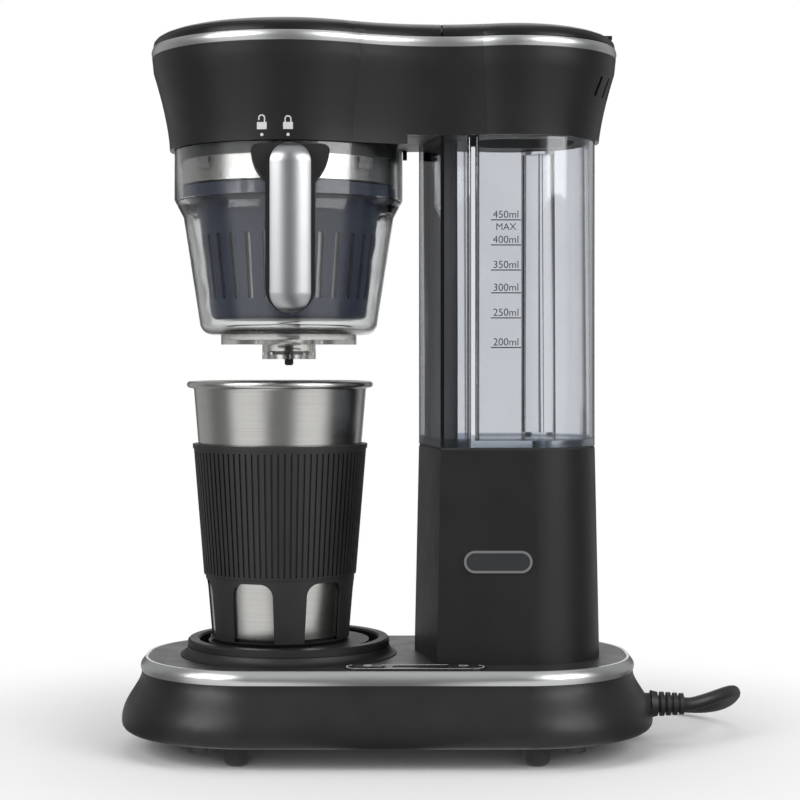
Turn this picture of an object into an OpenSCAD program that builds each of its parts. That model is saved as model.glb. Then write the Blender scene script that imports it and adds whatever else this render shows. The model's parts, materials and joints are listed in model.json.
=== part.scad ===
// Grind and brew coffee maker: flared base, water tank on a column, grinder head, brew holder and steel cup.
// Millimetres, +Z up, front towards -Y, origin on the table under the middle of the machine.

/* [Base] */
// Width of the base at its foot, left to right
base_w = 240; // [232:1:260]
// Depth of the base at its foot, front to back
base_d = 130; // [126:1:146]
// Corner radius of the base's foot outline
base_corner = 60; // [54:1:62]
// Height of the flared base housing
base_h = 26; // [24:0.5:32]
// How far the base's side leans in by its top
base_flare = 9; // [6:0.5:10]
// Height of the silver trim round the deck
trim_h = 6; // [5:0.5:8]
// Width of the silver trim, seen from above
trim_w = 2.8; // [2.5:0.1:5]
// Wall of the moulded housings
wall = 2.4; // [2:0.1:3]
// Diameter of a foot
foot_dia = 11.5; // [9:0.5:16]
// Height of the feet under the base
foot_h = 10; // [7:0.5:14]

/* [Cup and stand] */
// Left to right place of the axis shared by stand, holder and grinder
brew_x = -45; // [-48:0.5:-42]
// Radius of the stand where it meets the deck
stand_r = 49.2; // [46:0.1:50]
// Height of the stand above the deck
stand_h = 7.5; // [6:0.5:10]
// Inner radius of the stand's ring
stand_inner_r = 40.5; // [39:0.1:42]
// Depth of the stand's recess
stand_recess = 1.2; // [0.6:0.1:1.4]
// Height of the steel cup
cup_h = 116; // [100:1:125]
// Radius of the cup just under its rolled rim
cup_r = 39.3; // [37:0.1:41]
// Radius of the cup at its bottom
cup_foot_r = 30.2; // [28:0.1:31]
// Radius of the cup's rolled rim bead
cup_bead_r = 1.6; // [1.2:0.1:2]
// Wall of the steel cup
cup_wall = 0.9; // [0.7:0.1:1.4]
// Height of the sleeve on the cup
sleeve_h = 89; // [75:1:95]
// Height of the arched skirt below the sleeve's ribbed band
sleeve_skirt_h = 30; // [24:1:36]
// Thickness of the sleeve's skirt
sleeve_wall = 1.5; // [1.2:0.1:2]
// Number of vertical ribs on the sleeve
rib_count = 84; // [60:4:96]
// Number of arched windows in the sleeve
arch_count = 6; // [5:1:7]

/* [Holder] */
// Gap between the cup's rim and the drip pin
pour_gap = 7.2; // [6.8:0.1:12]
// Outer radius of the clear bucket
bucket_r = 52; // [51:0.5:54]
// Height of the bucket's upright band
bucket_band_h = 22; // [20:1:26]
// Height of the bucket's tapered part
bucket_cone_h = 47; // [42:1:52]
// Radius of the bucket at the foot of its taper
bucket_foot_r = 40.6; // [39:0.1:42]
// Wall of the clear bucket
bucket_wall = 2; // [1.6:0.1:2.4]
// Number of slots in the filter basket
slot_count = 30; // [20:2:36]
// Width of the handle
handle_w = 21; // [18:0.5:24]
// Length of the handle, top to bottom
handle_l = 72; // [64:1:76]
// Reach of the handle in front of the brew axis
handle_reach = 78; // [76:0.5:84]
// Turn between the open and the closed padlock
lock_turn = 11; // [10:0.5:15]
// Turn of the closed handle to the right of straight ahead
handle_turn = 3.7; // [0:0.1:6]

/* [Column and tank] */
// Left to right place of the tank's middle
tank_x = 54; // [52:0.5:56]
// Width of the tank
tank_w = 80; // [76:1:84]
// Depth of the tank
tank_d = 70; // [66:1:74]
// Corner radius of the tank
tank_corner = 30; // [26:1:32]
// Wall of the clear tank
tank_wall = 2; // [1.6:0.1:2.6]
// Height of the black column under the tank
column_h = 94; // [86:1:104]
// How far each side of the column spreads towards its foot
column_flare = 2; // [0:0.1:3]
// Turn of the flat face on the left of column and tank
slant_turn = 11.3; // [8:0.1:12]
// Width of the badge plate
badge_w = 30; // [24:1:36]
// Height of the badge plate
badge_h = 9.8; // [8:0.2:12]

/* [Head] */
// Height of the head housing up to its silver trim
head_h = 41.5; // [40:0.5:48]
// How far the head's side leans out on its way up
head_flare = 8; // [7:0.5:9]
// Radius of the hollow waist between the two lobes
waist_r = 71; // [60:1:90]
// Height of the silver trim on the head
head_trim_h = 4.5; // [3.5:0.5:6]
// Height of the domed top above the trim
crown_h = 9; // [8:0.5:13]
// Opening angle of the tank lid
lid_turn = 95; // [80:1:100]
// Number of vent slots in the right end of the head
vent_count = 7; // [3:1:9]

/* [Controls] */
// Length of the control bezel
bezel_l = 61; // [54:1:64]
// Width of the control bezel
bezel_w = 12; // [11:0.5:13]
// Length of a push button
button_l = 15; // [12:0.5:18]
// Width of a push button
button_w = 7.4; // [6:0.2:8]
// Travel of a push button
button_travel = 1.2; // [0.8:0.1:1.4]

/* [Cord] */
// Diameter of the cord
cord_dia = 6; // [5.6:0.1:6.2]
// Radius of the coil at the outside of its spiral
coil_r = 36; // [34:0.5:40]
// Turns in each of the coil's two layers
coil_turns = 1.25; // [1.25, 1.75]

/* [Hidden] */
$fn = 96;
// Gap left between faces that move past each other
run_gap = 0.3;
// Gap of a sliding or turning pin in its bore
pin_gap = 0.08;
// Gap between fixed parts that are pushed together
fit_gap = 0.1;
// Gap of a part that is pressed onto a shaft
press_gap = 0.02;
// Extra depth of a cut, so that it breaks through
cut = 1;

// Heights of the stack, from the table up
base_z = foot_h;
base_top = base_z + base_h;
deck_z = base_top + trim_h;
stand_top = deck_z + stand_h;
cup_floor = stand_top - stand_recess;
cup_z = cup_floor + sleeve_wall + fit_gap;
cup_top = cup_z + cup_h;
pin_z = cup_top + pour_gap;
column_top = deck_z + column_h;
gasket_h = 1;
gasket_w = 3;
tank_z = column_top + gasket_h;

// Heights of the holder, from the drip pin up
pin_show = 2.8;
collar_h = 6.6;
step_h = 4.4;
bucket_round = 6;
shoulder_h = 8;
collar_z = pin_z + pin_show;
step_z = collar_z + collar_h;
bucket_z = step_z + step_h;
cone_z = bucket_z + bucket_round;
shoulder_z = cone_z + bucket_cone_h;
band_z = shoulder_z + shoulder_h;
bucket_top = band_z + bucket_band_h;

// Heights of the head
head_z = bucket_top + run_gap;
skirt_drop = 4;
floor_z = head_z + skirt_drop;
floor_top = floor_z + wall;
head_top = head_z + head_h;
cover_z = head_top + head_trim_h;
crown_z = cover_z + crown_h;

// The whole machine moves back so that the origin lies under the middle of its box
shift_y = (handle_reach - base_d / 2) / 2;

// Rounded to a hundredth of a millimetre, so that neighbouring faces meet
function hundredth(v) = round(v * 100) / 100;
function last(list) = list[len(list) - 1];
function reversed(list) = [for (i = [len(list) - 1 : -1 : 0]) list[i]];

// Side of the base: upright at the foot, sweeping in, and upright again under the trim
flare_power = 1.25;
flare_steps = 10;
foot_edge = 3.5;
plate_inset = foot_edge + wall / 2;
function ease(u) = u * u * (3 - 2 * u);
function base_lean(z) =
    let (up = max(0, (z - base_z - foot_edge) / (base_h - foot_edge)))
    base_flare * ease(pow(up, flare_power));
function base_side(from, to, extra) = [
    for (i = [0 : flare_steps])
        let (z = from + (to - from) * i / flare_steps)
        [hundredth(base_lean(z) + extra), hundredth(z)]
];
function base_foot_round() = [
    for (a = [0 : 22.5 : 67.5])
        [hundredth(foot_edge * (1 - sin(a))), hundredth(base_z + foot_edge * (1 - cos(a)))]
];
function upright(inset, from, to) = [[inset, from], [inset, to]];

// Outline of the head: two round lobes, joined by a hollow waist on each side
lobe_shift = 3;
skirt_over = 2;
lobe_over = 0.4;
lobe_x = tank_x + lobe_shift;
tank_reach = norm([tank_w / 2 - tank_corner - lobe_shift, tank_d / 2 - tank_corner]) + tank_corner;
head_r1 = bucket_r + skirt_over + head_flare;
head_r2 = hundredth(tank_reach + lobe_over + head_flare);
lobe_gap = lobe_x - brew_x;
waist_reach1 = head_r1 + waist_r;
waist_reach2 = head_r2 + waist_r;
waist_dx = (pow(waist_reach1, 2) - pow(waist_reach2, 2) + pow(lobe_gap, 2)) / (2 * lobe_gap);
waist_x = brew_x + waist_dx;
waist_y = sqrt(pow(waist_reach1, 2) - pow(waist_dx, 2));
waist_pull = 4;
head_flare_power = 1.5;
head_steps = 8;
// The head's side leans out to a soft crease, with a nearly upright band above it
crease_down = 6.7;
crease_lean = 0.7;
crease_z = head_top - crease_down;
function head_lean(z) =
    let (up = max(0, (z - head_z) / (crease_z - head_z)))
    up > 1 ? crease_lean * (head_top - z) / crease_down
    : head_flare - (head_flare - crease_lean) * pow(up, head_flare_power);
function head_side(from, to, extra) = [
    for (i = [0 : head_steps + 1])
        let (z = i > head_steps ? to : from + (crease_z - from) * i / head_steps)
        [hundredth(head_lean(z) + extra), hundredth(z)]
];

// Domed top: steep at its edge and level towards the crown
dome_reach = 32;
dome_power = 0.35;
dome_edge = 0.4;
dome_steps = 9;
function dome_rise(s) = crown_h * pow(sin(90 * s), dome_power);
function dome_side(base, inset, drop) = concat(
    [[dome_edge + inset, base]],
    [
        for (i = [1 : dome_steps])
            let (s = pow(i / dome_steps, 2))
            [hundredth(dome_edge + inset + dome_reach * s), hundredth(cover_z + dome_rise(s) - drop)]
    ]
);

// A round body's half section, from its axis out to a side given as [inset, z] points
function half_section(r, side) = concat(
    [[0, side[0][1]]],
    [for (p = side) [hundredth(r - p[0]), p[1]]],
    [[0, last(side)[1]]]
);

// A rounded rectangular body whose side follows [inset, z] points from the bottom up
module rounded_body(w, d, r, side) {
    x = w / 2 - r;
    y = d / 2 - r;
    across = concat(
        [for (p = side) [hundredth(d / 2 - p[0]), p[1]]],
        [for (p = reversed(side)) [hundredth(p[0] - d / 2), p[1]]]
    );
    translate([-x, 0, 0]) rotate([90, 0, 90]) linear_extrude(2 * x) polygon(across);
    for (turn = [0, 180]) rotate(turn) translate([x, 0, 0]) {
        translate([0, y, 0]) rotate([90, 0, 0]) linear_extrude(2 * y) polygon(half_section(r, side));
        translate([0, y, 0]) rotate_extrude(angle = 90) polygon(half_section(r, side));
        translate([0, -y, 0]) rotate(-90) rotate_extrude(angle = 90) polygon(half_section(r, side));
    }
}

// Fills the front left corner of such a body out to a square edge
module square_corner(w, d, r, side) {
    front = concat(
        [[0, side[0][1]]],
        [for (p = side) [hundredth(p[0] - d / 2), p[1]]],
        [[0, last(side)[1]]]
    );
    translate([-w / 2, 0, 0]) rotate([90, 0, 90]) linear_extrude(r) polygon(front);
}

// The head's outline as a body whose side follows [inset, z] points from the bottom up
module two_lobes(side) {
    from = side[0][1];
    to = last(side)[1];
    hollow = concat(
        [[0, from - cut], [waist_r + side[0][0], from - cut]],
        [for (p = side) [waist_r + p[0], p[1]]],
        [[waist_r + last(side)[0], to + cut], [0, to + cut]]
    );
    for (lobe = [[brew_x, head_r1], [lobe_x, head_r2]])
        translate([lobe[0], 0, 0]) rotate_extrude() polygon(half_section(lobe[1], side));
    difference() {
        translate([0, 0, from]) linear_extrude(to - from) polygon([
            [brew_x + waist_pull, 0],
            [waist_x, -waist_y],
            [lobe_x - waist_pull, 0],
            [waist_x, waist_y]
        ]);
        for (s = [-1, 1]) translate([waist_x, s * waist_y, 0]) rotate_extrude() polygon(hollow);
    }
}

// A flat lozenge with round ends, lying along X
module lozenge(l, w) {
    square([l - w, w], center = true);
    for (s = [-1, 1]) translate([s * (l - w) / 2, 0]) circle(d = w);
}

module base_rounded(side) {
    rounded_body(base_w, base_d, base_corner, side);
}

// Base
ledge_w = 6;
deck_gap = 0.2;
deck_inset = base_flare + trim_w + deck_gap;
plate_t = 2;
screw_r = 1.6;
screw_head_r = 3.2;
screw_head_h = 1.3;
screw_l = 10;
boss_r = 4.5;
boss_in_x = 38;
boss_in_y = 27;
boss_x = base_w / 2 - boss_in_x;
boss_y = base_d / 2 - boss_in_y;
pad_r = 6;
pad_h = 5.5;
pad_taper = 1;
foot_in_x = 55;
foot_in_y = 20;
foot_x = base_w / 2 - foot_in_x;
foot_y = base_d / 2 - foot_in_y;
relief_up = 8.5;
relief_z = base_z + relief_up;
relief_r = 5;
module at_bosses() {
    for (x = [-1, 1], y = [-1, 1]) translate([x * boss_x, y * boss_y, 0]) children();
}

module base_shell() color("#17181a") difference() {
    base_rounded(concat(base_foot_round(), base_side(base_z + foot_edge, base_top, 0)));
    base_rounded(concat(
        upright(plate_inset, base_z - cut, base_z + foot_edge),
        base_side(base_z + foot_edge + wall, base_top - wall, wall)
    ));
    base_rounded(upright(base_flare + ledge_w, base_top - wall - cut, base_top + cut));
    translate([base_w / 2 - base_flare - ledge_w, 0, relief_z]) rotate([0, 90, 0])
        cylinder(r = relief_r + fit_gap, h = base_flare + ledge_w + cut);
}

trim_bulge = 0.9;
trim_lean = 1.6;
trim_steps = 6;
module base_trim() color("silver") difference() {
    base_rounded([
        for (i = [0 : trim_steps])
            let (t = i / trim_steps)
            [
                hundredth(base_flare + trim_lean * t * t - trim_bulge * sin(180 * t)),
                hundredth(base_top + trim_h * t)
            ]
    ]);
    base_rounded(upright(base_flare + trim_w, base_top - cut, deck_z + cut));
}

deck_rim = 3;
wire_hole_w = 30;
wire_hole_d = 14;
wire_hole_y = tank_d / 2 - 14;
bezel_x = 12.3;
bezel_edge = 0.8;
bezel_y = -(base_d / 2 - deck_inset - bezel_edge - bezel_w / 2);
bezel_h = 0.8;
button_in = 10;
button_x = bezel_l / 2 - button_in;
module at_buttons() {
    for (s = [-1, 1]) translate([bezel_x + s * button_x, bezel_y, 0]) children();
}
module deck_plate() color("#26282b") difference() {
    union() {
        difference() {
            base_rounded(upright(deck_inset, base_top, deck_z));
            base_rounded(upright(deck_inset + deck_rim, base_top - cut, deck_z - wall));
        }
        at_bosses() translate([0, 0, base_z + plate_t])
            cylinder(r = boss_r, h = deck_z - wall / 2 - base_z - plate_t);
    }
    at_bosses() translate([0, 0, base_z]) cylinder(r = screw_r + fit_gap, h = screw_l + plate_t);
    at_buttons() translate([0, 0, deck_z - wall - cut]) linear_extrude(wall + 2 * cut)
        lozenge(button_l + 2 * run_gap, button_w + 2 * run_gap);
    translate([tank_x - wire_hole_w / 2, wire_hole_y - wire_hole_d / 2, deck_z - wall - cut])
        cube([wire_hole_w, wire_hole_d, wall + 2 * cut]);
}

module bottom_plate() color("#1b1c1e") difference() {
    union() {
        base_rounded(upright(plate_inset + run_gap, base_z, base_z + plate_t));
        at_bosses() translate([0, 0, base_z - pad_h])
            cylinder(r1 = pad_r - pad_taper, r2 = pad_r, h = pad_h + plate_t / 2);
    }
    at_bosses() translate([0, 0, base_z - pad_h - cut]) {
        cylinder(r = screw_r + fit_gap, h = pad_h + plate_t + 2 * cut);
        cylinder(r = screw_head_r + fit_gap, h = pad_h + screw_head_h + cut);
    }
}

module bottom_screws() color("silver") at_bosses() translate([0, 0, base_z]) difference() {
    union() {
        cylinder(r = screw_head_r, h = screw_head_h);
        cylinder(r = screw_r, h = screw_l);
    }
    translate([0, 0, -cut]) cylinder(r = screw_r, h = screw_head_h / 2 + cut, $fn = 6);
}

foot_round = 2.5;
module feet() color("#2a2a2c")
    for (x = [-1, 1], y = [-1, 1]) translate([x * foot_x, y * foot_y, 0]) rotate_extrude() polygon(concat(
        [[0, 0]],
        [
            for (a = [-90 : 22.5 : 0])
                [hundredth(foot_dia / 2 - foot_round * (1 - cos(a))), hundredth(foot_round * (1 + sin(a)))]
        ],
        [[foot_dia / 2, foot_h], [0, foot_h]]
    ));

// Cup stand and controls
stand_lip = 3;
stand_lean = [1.6, 2.8, 3.4];
stand_line = 0.5;
stand_round = 0.8;
moat_w = 4;
moat_h = 4;
module cup_stand() color("#1c1d1f") {
    seat = stand_h - stand_recess;
    moat_r = stand_inner_r - moat_w;
    low = stand_h - stand_lip;
    lip_r = stand_r - stand_lean[2];
    translate([brew_x, 0, deck_z]) rotate_extrude() polygon([
        [0, seat - wall],
        [moat_r - wall, seat - wall],
        [moat_r - wall, 0],
        [stand_r, 0],
        [stand_r, low / 10],
        [stand_r - stand_lean[0], low / 4],
        [stand_r - stand_lean[1], low / 2],
        [lip_r, low - stand_line],
        [lip_r - stand_line, low - stand_line],
        [lip_r - stand_line, low],
        [lip_r, low],
        [lip_r, stand_h - stand_round],
        [lip_r - stand_round, stand_h],
        [stand_inner_r + stand_round, stand_h],
        [stand_inner_r, stand_h - stand_round],
        [stand_inner_r, seat - moat_h],
        [moat_r, seat - moat_h],
        [moat_r, seat],
        [0, seat]
    ]);
}

module control_bezel() color("#34363a") difference() {
    translate([bezel_x, bezel_y, deck_z]) linear_extrude(bezel_h) lozenge(bezel_l, bezel_w);
    at_buttons() translate([0, 0, deck_z - cut]) linear_extrude(bezel_h + 2 * cut)
        lozenge(button_l + 2 * run_gap, button_w + 2 * run_gap);
    translate([bezel_x, bezel_y, deck_z + bezel_h / 2]) linear_extrude(bezel_h)
        lozenge(2 * button_x - button_l - 6, bezel_w / 2);
}

button_proud = 0.5;
button_flange = 1.4;
button_flange_h = 0.9;
button_dish = 0.3;
module push_button(s) translate([bezel_x + s * button_x, bezel_y, 0]) {
    translate([0, 0, deck_z - wall - run_gap - button_flange_h]) linear_extrude(button_flange_h)
        lozenge(button_l + 2 * button_flange, button_w - 2 * run_gap);
    translate([0, 0, deck_z - wall - run_gap - button_flange_h / 2])
        linear_extrude(wall + run_gap + button_flange_h / 2 + bezel_h + button_proud - button_dish)
            lozenge(button_l, button_w);
    translate([0, 0, deck_z + bezel_h]) linear_extrude(button_proud)
        lozenge(button_l - 2 * button_dish, button_w - 2 * button_dish);
}
module button_left() color("#c9ccd0") push_button(-1);
module button_right() color("#c9ccd0") push_button(1);

board_t = 1.6;
switch_w = 6;
switch_h = 3.2;
switch_slack = 0.2;
board_z = deck_z - wall - run_gap - button_flange_h - button_travel - switch_slack - switch_h - board_t;
board_l = 2 * button_x + 28;
board_d = 13;
board_y = bezel_y - switch_w / 2 - 0.2;
post_r = 2;
module control_board() color("darkgreen") {
    translate([bezel_x - board_l / 2, board_y, board_z]) cube([board_l, board_d, board_t]);
    at_buttons() translate([-switch_w / 2, -switch_w / 2, board_z + board_t / 2])
        cube([switch_w, switch_w, switch_h + board_t / 2]);
    for (s = [-1, 1])
        translate([bezel_x + s * (board_l / 2 - post_r), board_y + board_d / 2, board_z + board_t / 2])
            cylinder(r = post_r, h = deck_z - wall - board_z - board_t / 2);
}

// Column and what it holds; a flat face slants across the left of column and tank
slant_out = 1.5;
slant_y = 20;
column_lean = atan(column_flare / column_h);
module left_slant(inset, lean) {
    translate([tank_x - tank_w / 2 - slant_out, slant_y, column_top]) rotate(slant_turn) rotate([0, lean, 0])
        translate([-tank_w, -2 * tank_d, -crown_z]) cube([tank_w + inset, 4 * tank_d, 2 * crown_z]);
}
module one_edged(w, d, r, side) {
    rounded_body(w, d, r, side);
    square_corner(w, d, r, side);
}
module column_body(extra, side) {
    grown = column_flare + extra;
    translate([tank_x, 0, 0]) one_edged(tank_w + 2 * grown, tank_d + 2 * grown, tank_corner + grown, side);
}
hose_y = -4;
hose_r = 5;
hose_bore_r = 3;
riser_in = 12;
riser_x = tank_x - tank_w / 2 + riser_in;
inlet_right = 14;
inlet_x = tank_x + inlet_right;
conduit_w = 14;
conduit_l = 16;
conduit_left = 0.6;
conduit_y = hose_y + hose_r + run_gap + conduit_l / 2;
conduit_t = 1.2;
conduit_end = 3;
module conduit_outline(extra) {
    translate([riser_x - conduit_left, conduit_y]) rotate(90)
        lozenge(conduit_l + 2 * extra, conduit_w + 2 * extra);
}
spigot_r = 5;
spigot_l = 12;
cold_hose_r = 7;

module column_shell() color("#101113") difference() {
    column_body(0, [[0, deck_z], [column_flare, column_top]]);
    left_slant(0, column_lean);
    difference() {
        column_body(0, [[wall, deck_z - cut], [column_flare + wall, column_top - wall]]);
        left_slant(wall, column_lean);
    }
    translate([0, 0, column_top - wall - cut]) {
        translate([riser_x, hose_y, 0]) cylinder(r = hose_r + run_gap, h = wall + 2 * cut);
        translate([inlet_x, hose_y, 0]) cylinder(r = spigot_r + run_gap, h = wall + 2 * cut);
        linear_extrude(wall + 2 * cut) conduit_outline(run_gap);
    }
}

badge_left = 5.3;
badge_x = tank_x - badge_left;
badge_z = deck_z + column_h * 0.48;
badge_rim_w = 1.1;
badge_rim_t = 1.2;
badge_plate_t = 0.8;
module badge_outline(inset) {
    translate([badge_x, 0, badge_z]) rotate([90, 0, 0]) linear_extrude(tank_d)
        lozenge(badge_w - 2 * inset, badge_h - 2 * inset);
}
module column_skin(t) {
    difference() {
        column_body(t, [[0, deck_z], [column_flare, column_top]]);
        column_body(0, concat(
            upright(0, deck_z - cut, deck_z),
            upright(column_flare, column_top, column_top + cut)
        ));
    }
}
module badge_rim() color("gainsboro") difference() {
    intersection() {
        column_skin(badge_rim_t);
        badge_outline(0);
    }
    badge_outline(badge_rim_w);
}
module badge_plate() color("#202226") intersection() {
    column_skin(badge_plate_t);
    badge_outline(badge_rim_w + fit_gap);
}

bracket_t = 2;
heater_w = 20;
heater_h = 22;
heater_end = 6;
heater_l = inlet_x - riser_x + 2 * heater_end;
heater_x = (inlet_x + riser_x) / 2;
heater_z = deck_z + bracket_t;
heater_top = heater_z + heater_h;
port_l = 10;
port_wall = 0.9;
module heater_bracket() color("#9aa0a6") {
    translate([heater_x, hose_y, deck_z]) linear_extrude(bracket_t) lozenge(heater_l, heater_w);
    for (s = [-1, 1]) translate([heater_x + s * heater_l / 5, hose_y - s * (heater_w / 2 + 2), deck_z])
        linear_extrude(bracket_t) circle(r = 5);
}
module heater_body() color("#b4b8bc") {
    difference() {
        translate([heater_x, hose_y, heater_z]) linear_extrude(heater_h) lozenge(heater_l, heater_w);
        for (z = [heater_h / 3, 2 * heater_h / 3], s = [-1, 1])
            translate([heater_x - heater_l, hose_y + s * (heater_w / 2 + 1.5), heater_z + z])
                rotate([0, 90, 0]) cylinder(r = 3, h = 2 * heater_l);
    }
    for (x = [riser_x, inlet_x]) translate([x, hose_y, heater_top - 1]) difference() {
        cylinder(r = hose_bore_r - fit_gap, h = port_l + 1);
        translate([0, 0, cut]) cylinder(r = hose_bore_r - fit_gap - port_wall, h = port_l + cut);
    }
}
thermostat_r = 8;
thermostat_h = 6;
module thermostat() color("#c8b068") translate([heater_x, hose_y, heater_top]) {
    cylinder(r = thermostat_r, h = thermostat_h / 2);
    cylinder(r = thermostat_r - 2, h = thermostat_h);
    for (s = [-1, 1]) translate([s * 3.5 - 0.4, -2.5, thermostat_h - 1]) cube([0.8, 5, 7]);
}

valve_r = 8;
valve_l = 18;
valve_z = heater_top + port_l + 1;
cold_hose_top = column_top - wall - 1;
cold_hose_z = valve_z + valve_l + 1;
module check_valve() color("#d8d4c8") translate([inlet_x, hose_y, 0]) difference() {
    union() {
        translate([0, 0, valve_z]) cylinder(r = valve_r, h = valve_l);
        translate([0, 0, heater_top]) cylinder(r = hose_bore_r + 2, h = valve_z - heater_top + 1);
        translate([0, 0, valve_z + valve_l - 1]) cylinder(r = spigot_r, h = port_l);
    }
    translate([0, 0, heater_top - cut]) cylinder(r = hose_bore_r, h = port_l + 2 * cut);
    translate([0, 0, heater_top + port_l]) cylinder(r = 2, h = valve_l + port_l + 2 * cut);
}
module cold_hose() color("#e6e6e2") translate([inlet_x, hose_y, cold_hose_z]) difference() {
    cylinder(r = cold_hose_r, h = cold_hose_top - cold_hose_z);
    translate([0, 0, -cut]) cylinder(r = spigot_r + fit_gap, h = cold_hose_top - cold_hose_z + 2 * cut);
}

// Tank
tank_floor = 3;
partition_right = 11;
partition_t = 1.8;
partition_x = riser_x + partition_right;
fillet_r = 3;
fillet_over = 1.05;
groove_right = 18;
groove_in = 1;
groove_r = 9;
groove_up = 8;
groove_down = 6;
groove_rib_r = 1.2;
module tank_body(inset, from, to) difference() {
    translate([tank_x, 0, 0]) one_edged(tank_w, tank_d, tank_corner, upright(inset, from, to));
    left_slant(inset, 0);
}
module tank_side_of(x, to_right) {
    translate([to_right ? x : x - tank_w, -tank_d, 0]) cube([tank_w, 2 * tank_d, crown_z]);
}
module partition_fillets() {
    for (sx = [-1, 1], sy = [-1, 1])
        translate([partition_x + (sx + 1) / 2 * partition_t, sy * (tank_d / 2 - tank_wall), tank_z])
            scale_side(sx, -sy) difference() {
                translate([-partition_t / 2, -tank_wall / 2, 0])
                    cube([fillet_r + partition_t / 2, fillet_r + tank_wall / 2, floor_z - tank_z]);
                translate([fillet_r, fillet_r, -cut])
                    cylinder(r = fillet_r * fillet_over, h = floor_z - tank_z + 2 * cut);
            }
}
module scale_side(sx, sy) {
    mirror([sx < 0 ? 1 : 0, 0, 0]) mirror([0, sy < 0 ? 1 : 0, 0]) children();
}
module groove_post(r, inset) {
    from = tank_z + tank_floor + groove_up + inset;
    translate([tank_x + groove_right, tank_d / 2 - groove_in, from])
        cylinder(r = r, h = floor_z - groove_down - inset - from);
}
module tank_gasket() color("#0c0c0d") difference() {
    tank_body(run_gap, column_top, tank_z);
    tank_body(gasket_w, column_top - cut, tank_z + cut);
}
module tank() color("#c9d3da", 0.4) difference() {
    union() {
        tank_body(0, tank_z, floor_z);
        translate([inlet_x, hose_y, tank_z - spigot_l]) cylinder(r = spigot_r, h = spigot_l + 1);
    }
    difference() {
        intersection() {
            tank_body(tank_wall, tank_z + tank_floor, floor_z + cut);
            tank_side_of(partition_x + partition_t, true);
        }
        partition_fillets();
        groove_post(groove_r, 0);
        translate([0, -groove_r, 0]) groove_post(groove_rib_r, tank_wall);
    }
    difference() {
        intersection() {
            tank_body(tank_wall, tank_z - cut, floor_z + cut);
            tank_side_of(partition_x, false);
        }
        partition_fillets();
    }
    groove_post(groove_r - tank_wall, tank_wall);
    translate([inlet_x, hose_y, tank_z - spigot_l - cut])
        cylinder(r = hose_bore_r, h = spigot_l + tank_floor + 2 * cut);
}
module wire_conduit() color("#0d0d0e") {
    low = column_top - wall - conduit_end;
    l = floor_top + conduit_end - low;
    difference() {
        translate([0, 0, low]) linear_extrude(l) conduit_outline(0);
        translate([0, 0, low - cut]) linear_extrude(l + 2 * cut) conduit_outline(-conduit_t);
    }
}

// Hot water riser: up beside the tank, over inside the head and down to the spout
bend_r = 12;
riser_top = floor_top + 16;
spout_reach = 30;
spout_x = brew_x + spout_reach;
spout_drop = 6;
module hose_run(l, r) difference() {
    cylinder(r = r, h = l);
    translate([0, 0, -cut]) cylinder(r = hose_bore_r, h = l + 2 * cut);
}
module hose_bend() rotate_extrude(angle = 90) translate([bend_r, 0]) difference() {
    circle(r = hose_r);
    circle(r = hose_bore_r);
}
module hot_riser() color("#2c2e31") translate([0, hose_y, 0]) {
    translate([riser_x, 0, heater_top]) hose_run(riser_top - bend_r - heater_top, hose_r);
    translate([riser_x - bend_r, 0, riser_top - bend_r]) rotate([90, 0, 0]) hose_bend();
    translate([spout_x + bend_r, 0, riser_top]) rotate([0, 90, 0])
        hose_run(riser_x - spout_x - 2 * bend_r, hose_r);
    translate([spout_x + bend_r, 0, riser_top - bend_r]) rotate([90, 0, 0]) rotate(90) hose_bend();
    translate([spout_x, 0, floor_z - spout_drop]) hose_run(riser_top - bend_r - floor_z + spout_drop, hose_r);
}
spout_wall = 2;
module water_spout() color("#202123") translate([spout_x, hose_y, 0]) difference() {
    union() {
        translate([0, 0, floor_z - spout_drop - 3])
            cylinder(r = hose_r + spout_wall, h = floor_top - floor_z + spout_drop + 3);
        translate([0, 0, floor_top]) cylinder(r = hose_r + 2 * spout_wall, h = spout_wall);
    }
    translate([0, 0, floor_z - spout_drop]) cylinder(r = hose_r + fit_gap, h = bend_r + spout_drop);
    translate([0, 0, floor_z - spout_drop - 3 - cut]) cylinder(r = hose_bore_r, h = 3 + 2 * cut);
}

// Head housing
vent_w = 2;
vent_l = 9;
vent_z = head_z + 0.65 * head_h;
vent_step = 11;
vent_slant = -16;
floor_inset = head_lean(floor_z) + wall + fit_gap;
module head_shell() color("#17181a") difference() {
    two_lobes(head_side(head_z, head_top, 0));
    two_lobes(head_side(head_z - cut, head_top + cut, wall));
    translate([brew_x + head_r1 - head_flare, -tank_d, head_z - cut])
        cube([2 * lobe_gap, 2 * tank_d, skirt_drop + cut]);
    for (i = [0 : vent_count - 1])
        translate([lobe_x, 0, vent_z]) rotate((i - (vent_count - 1) / 2) * vent_step)
            translate([head_r2, 0, 0]) rotate([vent_slant, 0, 0])
                cube([head_r2 / 2, vent_w, vent_l], center = true);
}

fill_w = 46;
fill_d = 38;
fill_r = 14;
fill_x = tank_x + 8;
well_wall = 1.6;
module fill_hole(from, to, extra) {
    translate([fill_x, 0, 0]) rounded_body(
        fill_w + 2 * extra, fill_d + 2 * extra, fill_r + extra, upright(0, from, to)
    );
}
module fill_well() color("#1d1e20") difference() {
    fill_hole(floor_top, cover_z - wall, well_wall);
    fill_hole(floor_top - cut, cover_z - wall + cut, 0);
}

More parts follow.
